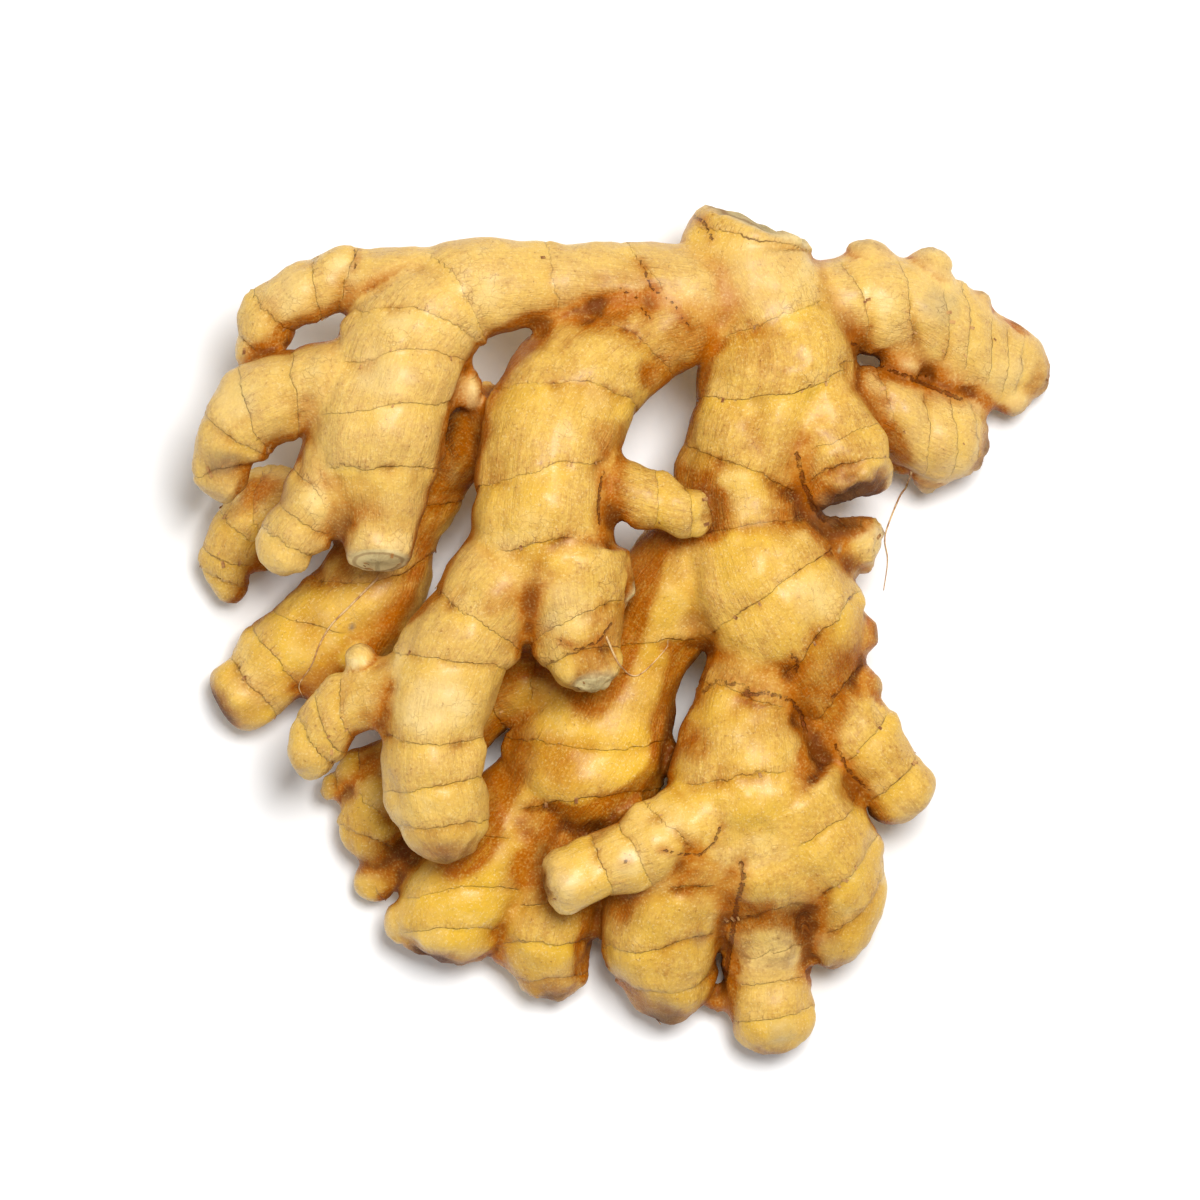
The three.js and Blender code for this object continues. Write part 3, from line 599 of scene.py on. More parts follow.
class Shade:
    """A socket of a shader tree: arithmetic on it adds Math nodes."""

    def __init__(self, tree, socket=None):
        self.tree = tree
        self.socket = socket

    def node(self, kind, sockets, output=0, **settings):
        """Adds a node and gives one of its outputs."""
        made = add_node(self.tree, kind, sockets, settings)
        return Shade(self.tree, made.outputs[output] if made.outputs else None)

    def maths(self, operation, *values, clamp=False):
        return self.node("ShaderNodeMath", dict(enumerate(values)), operation=operation, use_clamp=clamp)

    def __add__(self, other):
        return self.maths("ADD", self, other)

    def __radd__(self, other):
        return self.maths("ADD", other, self)

    def __sub__(self, other):
        return self.maths("SUBTRACT", self, other)

    def __rsub__(self, other):
        return self.maths("SUBTRACT", other, self)

    def __mul__(self, other):
        return self.maths("MULTIPLY", self, other)

    def __truediv__(self, other):
        return self.maths("DIVIDE", self, other)

    def __abs__(self):
        return self.maths("ABSOLUTE", self)

    def step(self, low, high):
        """0 below low, 1 above high and smooth between; low may be the larger."""
        return self.node(
            "ShaderNodeMapRange", {"Value": self, "From Min": low, "From Max": high},
            interpolation_type="SMOOTHSTEP",
        )

    def held(self):
        """The value kept between 0 and 1."""
        return self.maths("ADD", self, 0.0, clamp=True)

    def attribute(self, name, output=2):
        return self.node("ShaderNodeAttribute", {}, output, attribute_name=name)

    def stretched(self, by):
        """The vector with each of its parts multiplied."""
        return self.node("ShaderNodeVectorMath", {0: self, 1: by}, operation="MULTIPLY")

    def noise(self, scale, detail=2.0, roughness=0.5, twist=0.0):
        """Noise over this vector, about 0.5 in the middle."""
        return self.node("ShaderNodeTexNoise", {
            "Vector": self, "Scale": scale, "Detail": detail, "Roughness": roughness, "Distortion": twist,
        })

    def mix(self, low, high):
        """From one colour to another by this value."""
        return self.node("ShaderNodeMix", {0: self, 6: low, 7: high}, 2, data_type="RGBA")


def new_material(name):
    """An empty node material and the start of its expressions."""
    material = bpy.data.materials.new(name)
    material.use_nodes = True
    material.node_tree.nodes.clear()
    return material, Shade(material.node_tree)


def finish_material(material, start, sockets):
    """Gives the material one principled surface with these sockets."""
    surface = start.node("ShaderNodeBsdfPrincipled", sockets)
    start.node("ShaderNodeOutputMaterial", {"Surface": surface})
    return material


def ginger_skin_material(paint):
    """Dry tan skin over yellow flesh: rings, streaks, specks, painted shade between limbs, pale cut ends."""
    material, start = new_material("ginger_skin")
    spot = start.node("ShaderNodeTexCoord", {}, "Object")
    grain = start.attribute("grain", 1)
    fresh, pale, dark, tip, hollow, crease, cut, reach, border = (start.attribute(name) for name in (
        "fresh", "pale", "dark", "tip", "hollow", "crease", "cut", "reach", "border",
    ))
    clear = 1.0 - border
    turn = start.maths("ARCTAN2", start.attribute("ring_sine"), start.attribute("ring_cosine")) / math.tau
    age = start.maths("FRACT", turn)

    # Noise from blotches to grit, streaks along the limb, and a net of fine cracks.
    broad = spot.noise(75.0, 3.0, 0.6)
    mottle = spot.noise(210.0, 5.0, 0.65)
    fine = spot.noise(1100.0, 3.0, 0.65)
    grit = spot.noise(1600.0, 3.0, 0.6)
    wide_streak = (grain.stretched((0.07, 0.5, 1.0)).noise(1.0, 3.0, 0.6, 0.8) - 0.5) * clear
    streak = (grain.stretched((0.2, 2.4, 1.0)).noise(1.0, 4.0, 0.7, 0.6) - 0.5) * clear
    shift = start.node("ShaderNodeTexNoise", {"Vector": spot, "Scale": 300.0, "Detail": 3.0}, 1)
    bent = start.node("ShaderNodeVectorMath", {
        0: spot, 1: shift.stretched((0.004, 0.004, 0.004)),
    }, operation="ADD")
    cells = start.node("ShaderNodeTexVoronoi", {"Vector": bent, "Scale": 330.0}, feature="DISTANCE_TO_EDGE")

    # The scar of each growth ring, the torn skirt of skin before it and the fresh shoulder after it.
    from_ring = turn * start.attribute("ring_gap") + (fine - 0.5) * 0.9 + (mottle - 0.5) * 1.6
    torn = spot.noise(110.0, 3.0, 0.7).step(0.49, 0.66)
    width = 0.12 + torn * 0.22
    line = (1.0 - abs(from_ring) / width).held() * (0.06 + torn * 0.85) * clear * start.attribute("lined")
    skirt = from_ring.step(-4.0, -0.2) * from_ring.step(0.25, -0.1) * clear
    shoulder = age.step(0.5, 0.02) * clear

    # Dry and fresh skin, then pale skin and painted shade in the hollows between limbs.
    patches = (broad - 0.5) * 2.4 + (mottle - 0.5) * 0.6
    yellow = (fresh * 0.9 + shoulder * 0.5 - skirt * 0.35 + patches - 0.12).held()
    dry = (1.0 - yellow) * (mottle.step(0.3, 0.7) * 0.6 + 0.4)
    dusky = mottle.step(0.3, 0.7) * 0.6 + wide_streak * 1.1 + (fine - 0.5) * 2.2 + 0.1
    colour = dusky.held().mix(paint.tan, paint.ochre)
    colour = yellow.mix(colour, paint.yellow)
    faded = pale * (0.35 + mottle * 0.6) + tip * 0.2 + broad.step(0.52, 0.75) * 0.35
    colour = faded.held().mix(colour, paint.pale)
    # Painted shade: the hollows between limbs and the flanks that face other limbs darken to orange-brown.
    painted_shade_mix = hollow * (0.9 + wide_streak * 0.6 + (mottle - 0.5) * 0.7 - (grit - 0.5) * 0.9)
    colour = painted_shade_mix.held().mix(colour, paint.hollow)

    # Streaks, painted shade in deep creases, fine cracks, specks, browned tips, pale grain and weathered
    # patches.
    streaks = streak.step(0.03, 0.22) * (0.16 + dry * 0.3 + hollow * 0.3 + skirt * 0.45) * (1.0 - pale * 0.55)
    colour = streaks.held().mix(colour, paint.streak)
    # Painted shade: the deepest creases between limbs darken to dark brown.
    colour = (crease * (0.8 + streak * 1.5)).held().mix(colour, paint.crease)
    cracks = cells.step(0.055, 0.0) * broad.step(0.5, 0.62) * dry
    colour = (cracks * 0.5).mix(colour, paint.streak)
    specks = fine.step(0.62, 0.72) * mottle.step(0.42, 0.6)
    colour = (specks * 0.6).mix(colour, paint.streak)
    colour = (tip * mottle.step(0.44, 0.66) * 0.38).mix(colour, paint.streak)
    dots = grit.step(0.55, 0.68) * (0.45 + yellow * 0.25) * (1.0 - hollow * 0.75)
    colour = dots.mix(colour, paint.pale)
    colour = (dark * (0.6 + mottle * 0.6)).held().mix(colour, paint.grey)

    # Cracks and ring scars, then the cut ends.
    scar = start.attribute("scar")
    crack = (1.0 - (scar + (fine - 0.5) * 1.4) / 0.7).held().step(0.1, 0.6) * mottle.step(0.32, 0.5)
    # A halo round each scar in the painted shade colour: the scar's own browned skin, and painted shade along
    # the folds.
    around = scar.step(3.2, 0.2) * (0.4 + (mottle - 0.5) * 1.2)
    colour = around.held().mix(colour, paint.hollow)
    colour = (line * 0.9 + crack * 0.7).held().mix(colour, paint.scar)
    flesh = (reach.step(0.62, 0.7) * reach.step(0.82, 0.74) * 0.5 + mottle.step(0.5, 0.7) * 0.45).held()
    colour = cut.mix(colour, flesh.mix(paint.flesh, paint.streak))

    # Low relief and sheen.
    relief = streak * (0.12 + dry * 0.22 + hollow * 0.3) + wide_streak * 0.25
    relief = relief + (mottle - 0.5) * 0.45 + (fine - 0.5) * 0.2 + (grit - 0.5) * 0.08
    relief = relief - line * 0.3 - crack * 0.5 + skirt * 0.3 - specks * 0.08 - cracks * 0.16
    bump = start.node("ShaderNodeBump", {"Strength": 1.0, "Distance": MM, "Height": relief})
    rough = (0.3 + dry * 0.12 + (mottle - 0.5) * 0.3 - yellow * 0.06 + crease * 0.2 + cut * 0.15).held()
    gloss = (0.42 + yellow * 0.3) * (mottle.step(0.3, 0.6) * 0.6 + fine * 0.8) * (1.0 - hollow) * (1.0 - cut)
    return finish_material(material, start, {
        "Base Color": colour, "Roughness": rough, "Normal": bump, "Specular IOR Level": 0.12,
        "Coat Weight": gloss.held(), "Coat Roughness": 0.36,
    })


def fibre_material(name, light, dark):
    """Thin dry plant fibre, lighter and darker in small patches."""
    material, start = new_material(name)
    spot = start.node("ShaderNodeTexCoord", {}, "Object")
    change = spot.noise(420.0, 3.0, 0.6)
    colour = change.step(0.35, 0.65).mix(light, dark)
    bump = start.node("ShaderNodeBump", {"Strength": 1.0, "Distance": MM, "Height": change * 0.2})
    rough = 0.6 + change * 0.25
    return finish_material(material, start, {"Base Color": colour, "Roughness": rough, "Normal": bump})


def floor_material(colour):
    """Plain pale paper."""
    material, start = new_material("pale_floor")
    spot = start.node("ShaderNodeTexCoord", {}, "Object")
    rough = 0.8 + spot.noise(40.0, 2.0) * 0.1
    return finish_material(material, start, {"Base Color": colour, "Roughness": rough})


class Tree:
    """A geometry tree with named inputs, built in order."""

    def __init__(self, name, inputs):
        self.tree = bpy.data.node_groups.new(name, "GeometryNodeTree")
        self.ids = {}
        face = self.tree.interface
        face.new_socket("Geometry", in_out="INPUT", socket_type="NodeSocketGeometry")
        for label, (kind, default) in inputs.items():
            socket = face.new_socket(label, in_out="INPUT", socket_type=kind)
            if default is not None:
                socket.default_value = default
            self.ids[label] = socket.identifier
        face.new_socket("Geometry", in_out="OUTPUT", socket_type="NodeSocketGeometry")
        self.inputs = self.tree.nodes.new("NodeGroupInput").outputs

    def node(self, kind, sockets, output=0, **settings):
        """Adds a node and gives one of its outputs."""
        return add_node(self.tree, kind, sockets, settings).outputs[output]

    def maths(self, operation, *values):
        return self.node("ShaderNodeMath", dict(enumerate(values)), operation=operation)

    def named(self, name, kind):
        """An attribute of the geometry."""
        return self.node("GeometryNodeInputNamedAttribute", {"Name": name}, data_type=kind)

    def between(self, low, high, seed):
        """A random number for every point."""
        return self.node("FunctionNodeRandomValue", {2: low, 3: high, "Seed": seed}, 1, data_type="FLOAT")

    def tubes(self, radius, swell):
        """Round tubes along the lines that come in, as thick as an attribute and an input say."""
        lines = self.node("GeometryNodeMeshToCurve", {0: self.inputs[0]})
        circle = self.node("GeometryNodeCurvePrimitiveCircle", {
            "Resolution": self.inputs["Sides"], "Radius": 1.0,
        })
        width = self.maths("MULTIPLY", self.named(radius, "FLOAT"), self.inputs[swell])
        return self.node("GeometryNodeCurveToMesh", {
            "Curve": lines, "Profile Curve": circle, "Scale": width, "Fill Caps": True,
        })

    def finish(self, geometry, material):
        """Ends the tree in real geometry with its material."""
        real = self.node("GeometryNodeRealizeInstances", {"Geometry": geometry})
        made = self.node("GeometryNodeSetMaterial", {"Geometry": real, "Material": material})
        self.tree.links.new(made, self.tree.nodes.new("NodeGroupOutput").inputs[0])


def limb_tree(material):
    """Lofts every spine with its own radius, then flattens the loft towards its spine."""
    tree = Tree("ginger_limbs", {"Sides": ("NodeSocketInt", 40), "Swell": ("NodeSocketFloat", 1.0)})
    skin = tree.tubes("limb_radius", "Swell")
    over = tree.named("limb_over", "FLOAT_VECTOR")
    away = tree.node("ShaderNodeVectorMath", {
        0: tree.node("GeometryNodeInputPosition", {}), 1: tree.named("limb_centre", "FLOAT_VECTOR"),
    }, operation="SUBTRACT")
    height = tree.node("ShaderNodeVectorMath", {0: away, 1: over}, "Value", operation="DOT_PRODUCT")
    drop = tree.maths("MULTIPLY", height, tree.named("limb_drop", "FLOAT"))
    move = tree.node("ShaderNodeVectorMath", {0: over, "Scale": drop}, operation="SCALE")
    tree.finish(tree.node("GeometryNodeSetPosition", {"Geometry": skin, "Offset": move}), material)
    return tree


def hair_tree(material):
    """Thin tapering tubes along lines."""
    tree = Tree("root_hairs", {
        "Sides": ("NodeSocketInt", HAIR_SIDES), "Thickness": ("NodeSocketFloat", 1.0),
    })
    tree.finish(tree.tubes("hair_radius", "Thickness"), material)
    return tree


def flake_tree(material):
    """Small curled flakes scattered where the skin is torn."""
    tree = Tree("skin_flakes", {
        "Density": ("NodeSocketFloat", 1.0), "Length": ("NodeSocketFloat", 0.002),
        "Seed": ("NodeSocketInt", 4),
    })
    seed = tree.inputs["Seed"]
    density = tree.maths("MULTIPLY", tree.named("flake", "FLOAT"), tree.inputs["Density"])
    points = tree.node("GeometryNodeDistributePointsOnFaces", {
        "Mesh": tree.inputs[0], "Density": density, "Seed": seed,
    }, distribute_method="RANDOM")
    flake = tree.node("GeometryNodeMeshCube", {
        "Size": FLAKE_SHAPE, "Vertices X": 4, "Vertices Y": 3, "Vertices Z": 2,
    })
    along = tree.node("ShaderNodeSeparateXYZ", {0: tree.node("GeometryNodeInputPosition", {})})
    curl = tree.maths("MULTIPLY", tree.maths("POWER", tree.maths("ADD", along, 0.5), FLAKE_CURL), FLAKE_LIFT)
    raised = tree.node("ShaderNodeCombineXYZ", {"Z": curl})
    flake = tree.node("GeometryNodeSetPosition", {"Geometry": flake, "Offset": raised})
    lying = tree.node("FunctionNodeAlignRotationToVector", {
        "Rotation": points.node.outputs["Rotation"], "Vector": tree.named("limb_along", "FLOAT_VECTOR"),
    }, axis="X", pivot_axis="Z")
    spin = tree.between(-FLAKE_TURN, FLAKE_TURN, seed)
    turned = tree.node("FunctionNodeRotateRotation", {
        "Rotation": lying,
        "Rotate By": tree.node("FunctionNodeAxisAngleToRotation", {"Axis": (0.0, 0.0, 1.0), "Angle": spin}),
    }, rotation_space="LOCAL")
    size = tree.between(FLAKE_SMALL, FLAKE_LARGE, seed)
    placed = tree.node("GeometryNodeInstanceOnPoints", {
        "Points": points, "Instance": flake, "Rotation": turned,
        "Scale": tree.maths("MULTIPLY", size, tree.inputs["Length"]),
    })
    tree.finish(placed, material)
    return tree


def line_mesh(name, lines, **attributes):
    """A mesh of separate open lines, with a value of each attribute at every point."""
    counts = [len(line) for line in lines]
    starts = np.concatenate([[0], np.cumsum(counts)[:-1]])
    edges = [(s + i, s + i + 1) for s, count in zip(starts, counts) for i in range(count - 1)]
    mesh = bpy.data.meshes.new(name)
    mesh.from_pydata((np.vstack(lines) * MM).tolist(), edges, [])
    for label, values in attributes.items():
        store(mesh, label, values)
    return mesh


def show(name, mesh):
    """A new object at the origin for a mesh."""
    made = bpy.data.objects.new(name, mesh)
    bpy.context.scene.collection.objects.link(made)
    return made


def grown(name, source, tree, values, *more):
    """The plain mesh that a geometry tree, and any modifier set up after it, makes of a source mesh."""
    made = show(name, source)
    modifier = made.modifiers.new("grow", "NODES")
    modifier.node_group = tree.tree
    for label, value in values.items():
        modifier[tree.ids[label]] = value
    for kind, settings in more:
        extra = made.modifiers.new(kind.lower(), kind)
        for key, value in settings.items():
            setattr(extra, key, value)
    made.update_tag()
    layers = bpy.context.evaluated_depsgraph_get()
    mesh = bpy.data.meshes.new_from_object(made.evaluated_get(layers))
    made.modifiers.clear()
    made.data = mesh
    bpy.data.meshes.remove(source)
    if not len(mesh.polygons):
        raise RuntimeError(f"{name} came out empty")
    return made


def srgb(red, green, blue):
    """A screen colour, 0 to 255, as the linear colour that materials use."""
    parts = [value / 255 for value in (red, green, blue)]
    return *(v / 12.92 if v <= 0.04045 else ((v + 0.055) / 1.055) ** 2.4 for v in parts), 1.0


def web_limbs(skin, growth):
    """Webs the limbs where they meet, the small ones least."""
    share = 0.25 + 0.75 * ease(growth.girth, 4, 9)
    for _ in range(WEB_PASSES):
        pull = skin.blurred(skin.place) - skin.place
        rise = (pull * skin.normals()).sum(1)
        skin.place += pull * (share * np.where(rise > 0, WEB_RISE, WEB_FALL))[:, None]


class Crowd:
    """How full the space around the root is, on a grid."""

    def __init__(self, skin, limbs):
        self.low = skin.place.min(0) - CROWD_MARGIN
        count = np.ceil((skin.place.max(0) + CROWD_MARGIN - self.low) / CROWD_CELL).astype(int)
        self.solid = np.zeros(count)
        for limb in limbs:
            wide = limb.girth[:, None] + CROWD_CELL
            first = np.floor(((limb.centre - wide).min(0) - self.low) / CROWD_CELL).astype(int)
            last = np.ceil(((limb.centre + wide).max(0) - self.low) / CROWD_CELL).astype(int)
            spans = (np.arange(*ends) for ends in zip(first, last))
            near = np.stack(np.meshgrid(*spans, indexing="ij"), -1).reshape(-1, 3)
            away = (self.low + near * CROWD_CELL)[:, None] - limb.centre[None, ::2]
            stretch = (away * limb.over[::2]).sum(2) ** 2 * (1 / limb.flat ** 2 - 1)
            away = np.sqrt((away ** 2).sum(2) + stretch) - limb.radius[::2]
            inside = tuple(near.T)
            filled = np.clip(0.5 - away.min(1) / CROWD_CELL, 0, 1)
            self.solid[inside] = np.maximum(self.solid[inside], filled)

    def near(self, points, reach):
        """How much of the space within reach of each point is filled: half on a flat face,
        more in a dip between limbs."""
        last = int(2.5 * reach / CROWD_CELL)
        steps = np.arange(-last, last + 1)
        weights = np.exp(-0.5 * (steps * CROWD_CELL / reach) ** 2)
        weights = weights / weights.sum()
        solid = self.solid
        for axis in range(3):
            solid = sum(weight * np.roll(solid, step, axis) for step, weight in zip(steps, weights))
        at = (points - self.low) / CROWD_CELL
        corner = np.floor(at).astype(int)
        part = at - corner
        return sum(
            solid[tuple((corner + offset).T)] * np.prod(np.where(offset, part, 1 - part), axis=1)
            for offset in np.ndindex(2, 2, 2)
        )


def marked(skin, marks):
    """1 at the middle of a mark seen from above, falling to 0 at its edge."""
    facing = skin.normals()[:, 2]
    total = np.zeros(skin.count)
    for x, y, radius, amount in marks:
        away = np.linalg.norm((skin.place - CENTRING - (x, y, 0))[:, :2], axis=1)
        away = away + 0.3 * radius * lumps(skin.place, radius * 0.7, 8)
        total = np.maximum(total, amount * ease(-away, -radius, -radius * 0.35) * ease(facing, 0.0, 0.3))
    return total


def scar_gap(skin):
    """How far each point that faces up lies from the nearest scar, in widths of that scar."""
    flat = (skin.place - CENTRING)[:, :2]
    nearest = np.full(skin.count, SCAR_LIMIT)
    for width, *scar in SCARS:
        for start, stop in zip(np.array(scar[:-1]), np.array(scar[1:])):
            span = stop - start
            along = np.clip((flat - start) @ span / (span @ span), 0, 1)
            away = np.linalg.norm(flat - start - along[:, None] * span, axis=1)
            nearest = np.minimum(nearest, away / width)
    return np.where(skin.normals()[:, 2] > 0.15, nearest, SCAR_LIMIT)


def limb_borders(skin, growth):
    """1 where the skin of one limb runs into another's, falling to 0 away from there."""
    first, second = skin.edges.T
    border = np.zeros(skin.count)
    between = growth.owner[first] != growth.owner[second]
    border[np.concatenate([first[between], second[between]])] = 1
    return ease(skin.blurred(border, 6, 0.7), 0.02, 0.3)


def store_painted_shade(skin, limbs, growth):
    """Keeps the painted shade: how deep the skin lies between limbs and how much root faces it."""
    crowd = Crowd(skin, limbs)
    place = skin.place
    out = unit(skin.blurred(skin.normals(), 8))
    close = crowd.near(place, 3.5) - 0.5 + 0.7 / growth.girth
    wide = crowd.near(place, 8.0) - 0.5 + 1.6 / growth.girth
    touching = crowd.near(place + 3.5 * out, 2.0)
    # Painted shade on flanks that face other limbs across a gap.
    facing = 0.5 * crowd.near(place + 7 * out, 3.5) + 0.6 * crowd.near(place + 14 * out, 5.5)
    dip = ((skin.blurred(place, 21, 0.6) - place) * out).sum(1)
    crease = np.maximum(ease(close, 0.07, 0.24) * ease(dip, 0.05, 0.5), ease(touching, 0.25, 0.6))
    # Patches where the painted shade is lifted.
    shade_lift = marked(skin, SHADE_LIFT_MARKS)
    skin.store("crease", crease * (1 - shade_lift))
    hollow = 0.45 * ease(wide, 0.0, 0.16) * (0.5 + 0.5 * ease(dip, -0.5, 0.2)) + 0.65 * ease(close, 0.03, 0.2)
    hollow = hollow + ease(facing, 0.02, 0.34) + marked(skin, PAINTED_SHADE_MARKS) - shade_lift
    skin.store("hollow", np.clip(hollow, 0, 1))


def shape_root(root, limbs, shape):
    """Gives the fused limbs their webs, rings and lumps, and keeps what the skin is coloured by."""
    skin = Skin(root.data)
    growth = Growth(skin, limbs)
    web_limbs(skin, growth)
    place = skin.place.copy()
    border = limb_borders(skin, growth)
    turn, gap = growth.ring_turns(1.0 * lumps(place, 8, 3) + 0.45 * lumps(place, 2.6, 5))
    cut = growth.by_name(dict.fromkeys(CUT_TIPS, 1.0), 0.0) * ease(-growth.left_over, -1.6, -0.4)
    head = growth.by_name({"trunk": 1.0}, 0.0) * ease(-growth.station, -1.2, 0.2)
    ringed = (1 - border) * (1 - cut)
    finger = np.array(["finger" in limb.name or "thumb" in limb.name for limb in limbs])[growth.owner]
    pointed = np.exp(-(growth.reach * growth.girth) ** 2 / 7) * ease(-growth.left_over, -3, 0)
    scaly = ease(-growth.left_over, -8, 0) * finger
    broken = growth.by_name(dict.fromkeys(BROKEN_TIPS, 1.0), 0.0) * ease(-growth.left_over, -6, -1)

    normal = skin.normals()
    swell = 0.9 * np.sin(math.pi * turn) - 0.55 + 0.5 * (turn - 0.5)
    rough = lumps(place, 17, 11) + 0.7 * lumps(place, 8, 12) + 0.3 * lumps(place, 3.4, 13)
    rise = ringed * shape.ring_step / MM * swell * np.clip(gap / 12, 0.3, 1)
    rise += shape.bud / MM * growth.buds() * (1 - border)
    rise += shape.lump / MM * rough
    rise += head * lumps(place, 4, 14) * 1.2
    rise += shape.point / MM * pointed * finger
    rise += scaly * (0.7 * lumps(place, 3.2, 17) + 0.3 * lumps(place, 1.9, 18))
    rise += broken * (1.4 * lumps(place, 5, 15) + 0.7 * lumps(place, 2.4, 16))
    skin.place += broken[:, None] * (skin.blurred(skin.place, 5) - skin.place)
    skin.place += normal * rise[:, None]
    skin.place[:, 2] = np.maximum(skin.place[:, 2], 0)

    angle = np.arctan2(growth.right, growth.up)
    skin.store("grain", np.stack([growth.station, angle * growth.girth, growth.owner * 37.0], 1))
    skin.store("limb_along", joined(limbs, "along")[growth.sample])
    skin.store("ring_sine", np.sin(math.tau * turn))
    skin.store("ring_cosine", np.cos(math.tau * turn))
    skin.store("ring_gap", gap)
    skin.store("lined", skin.blurred(growth.by_name(LINED, 0.6), 6))
    skin.store("border", border)
    store_painted_shade(skin, limbs, growth)
    skin.store("fresh", skin.blurred(growth.by_name(FRESH, 0.25), 14) + marked(skin, YELLOW_MARKS))
    skin.store("pale", skin.blurred(growth.by_name(PALE, 0.2), 14) + marked(skin, PALE_MARKS))
    skin.store("scar", scar_gap(skin))
    skin.store("dark", marked(skin, DARK_MARKS))
    skin.store("tip", ease(-growth.left_over, -9, 1))
    skin.store("cut", np.clip(cut + 0.7 * head, 0, 1))
    skin.store("reach", growth.reach)
    edge = ease(-np.abs(turn - np.round(turn)) * gap, -1.3, -0.2)
    flake = edge * ringed * ease(lumps(skin.place, 9, 21), 0.05, 0.6)
    skin.store("flake", flake + 0.5 * cut + 0.3 * scaly * ease(lumps(skin.place, 5, 22), 0, 0.5))
    skin.write()


def colour_property(name, description, *rgb):
    """A colour, from its screen values."""
    return bpy.props.FloatVectorProperty(
        name=name, description=description, subtype="COLOR", size=4, min=0, max=1, default=srgb(*rgb)
    )


def length_property(name, description, millimetres):
    """A length, kept in metres."""
    return bpy.props.FloatProperty(
        name=name, description=description, unit="LENGTH", default=millimetres * MM
    )


def factor_property(name, description):
    """A size over the usual size."""
    return bpy.props.FloatProperty(name=name, description=description, subtype="FACTOR", default=1.0)


def power_property(name, description, watts):
    """The power of a light."""
    return bpy.props.FloatProperty(name=name, description=description, unit="POWER", default=watts)


class GingerShape(bpy.types.PropertyGroup):
    """Sizes of the root's skin"""
    cell: length_property("Cell", "Spacing of the points of the fused skin", 1.25)
    sides: bpy.props.IntProperty(name="Sides", description="Sides of a limb before it is fused", default=40)
    swell: factor_property("Swell", "Thickness of every limb over its usual thickness")
    ring_step: length_property("Ring step", "How far the skin stands up at a growth ring", 0.9)
    point: length_property("Points", "Height of the point on a finger's tip", 0.8)
    bud: length_property("Buds", "Height of the swellings beside the rings", 1.5)
    lump: length_property("Lumps", "Height of the skin's broad lumps", 1.05)


class GingerPaint(bpy.types.PropertyGroup):
    """Colours of the root"""
    tan: colour_property("Tan", "Dry skin, light", 224, 178, 72)
    ochre: colour_property("Ochre", "Dry skin, dark", 188, 126, 24)
    yellow: colour_property("Yellow", "Fresh smooth skin", 225, 174, 6)
    pale: colour_property("Pale", "Thin pale skin and tips", 240, 209, 140)
    # The colour of the painted shade in the hollows between limbs.
    hollow: colour_property("Hollow", "Skin in hollows between limbs", 176, 95, 0)
    # The colour of the painted shade in deep creases.
    crease: colour_property("Crease", "Deep creases", 86, 33, 0)
    streak: colour_property("Streak", "Fine streaks and specks", 142, 82, 22)
    scar: colour_property("Scar", "Growth rings", 104, 46, 10)
    grey: colour_property("Grey", "Weathered patches", 150, 126, 92)
    flesh: colour_property("Flesh", "Cut ends", 240, 218, 158)
    hair: colour_property("Hair", "Root hairs, light", 226, 190, 132)
    hair_shade: colour_property("Hair shade", "Root hairs, dark", 170, 116, 66)
    husk: colour_property("Husk", "Torn dry skin, light", 200, 150, 84)
    husk_shade: colour_property("Husk shade", "Torn dry skin, dark", 128, 76, 30)


class GingerDetail(bpy.types.PropertyGroup):
    """Sizes of the root hairs and of the torn skin"""
    hair_thickness: factor_property(
        "Hair thickness", "Thickness of the root hairs over their usual thickness"
    )
    flake_length: length_property("Flake length", "Length of a flake of skin", 1.4)
    flake_density: bpy.props.FloatProperty(
        name="Flake density", description="Flakes to a square metre where the skin is torn most",
        default=70000,
    )
    flake_seed: bpy.props.IntProperty(
        name="Flake seed", description="Another scatter of the flakes", default=4
    )


class GingerStage(bpy.types.PropertyGroup):
    """The floor, the light and the camera"""
    floor: length_property("Floor", "Width of the floor", 6000)
    floor_colour: colour_property("Floor colour", "The pale floor", 250, 250, 250)
    key: power_property("Key", "Power of the softbox", 34.0)
    fill: power_property("Fill", "Power of the fill light", 5.0)
    sky: bpy.props.FloatProperty(name="Sky", description="Strength of the even light", default=0.27)
    height: length_property("Camera height", "Height of the camera over the floor", 2000)


def softbox(name, place, size, power):
    """A square area light turned towards the middle of the floor."""
    light = bpy.data.lights.new(name, "AREA")
    light.size = size
    light.energy = power
    lamp = bpy.data.objects.new(name, light)
    lamp.location = place
    lamp.rotation_euler = (-Vector(place)).to_track_quat("-Z", "Y").to_euler()
    bpy.context.scene.collection.objects.link(lamp)


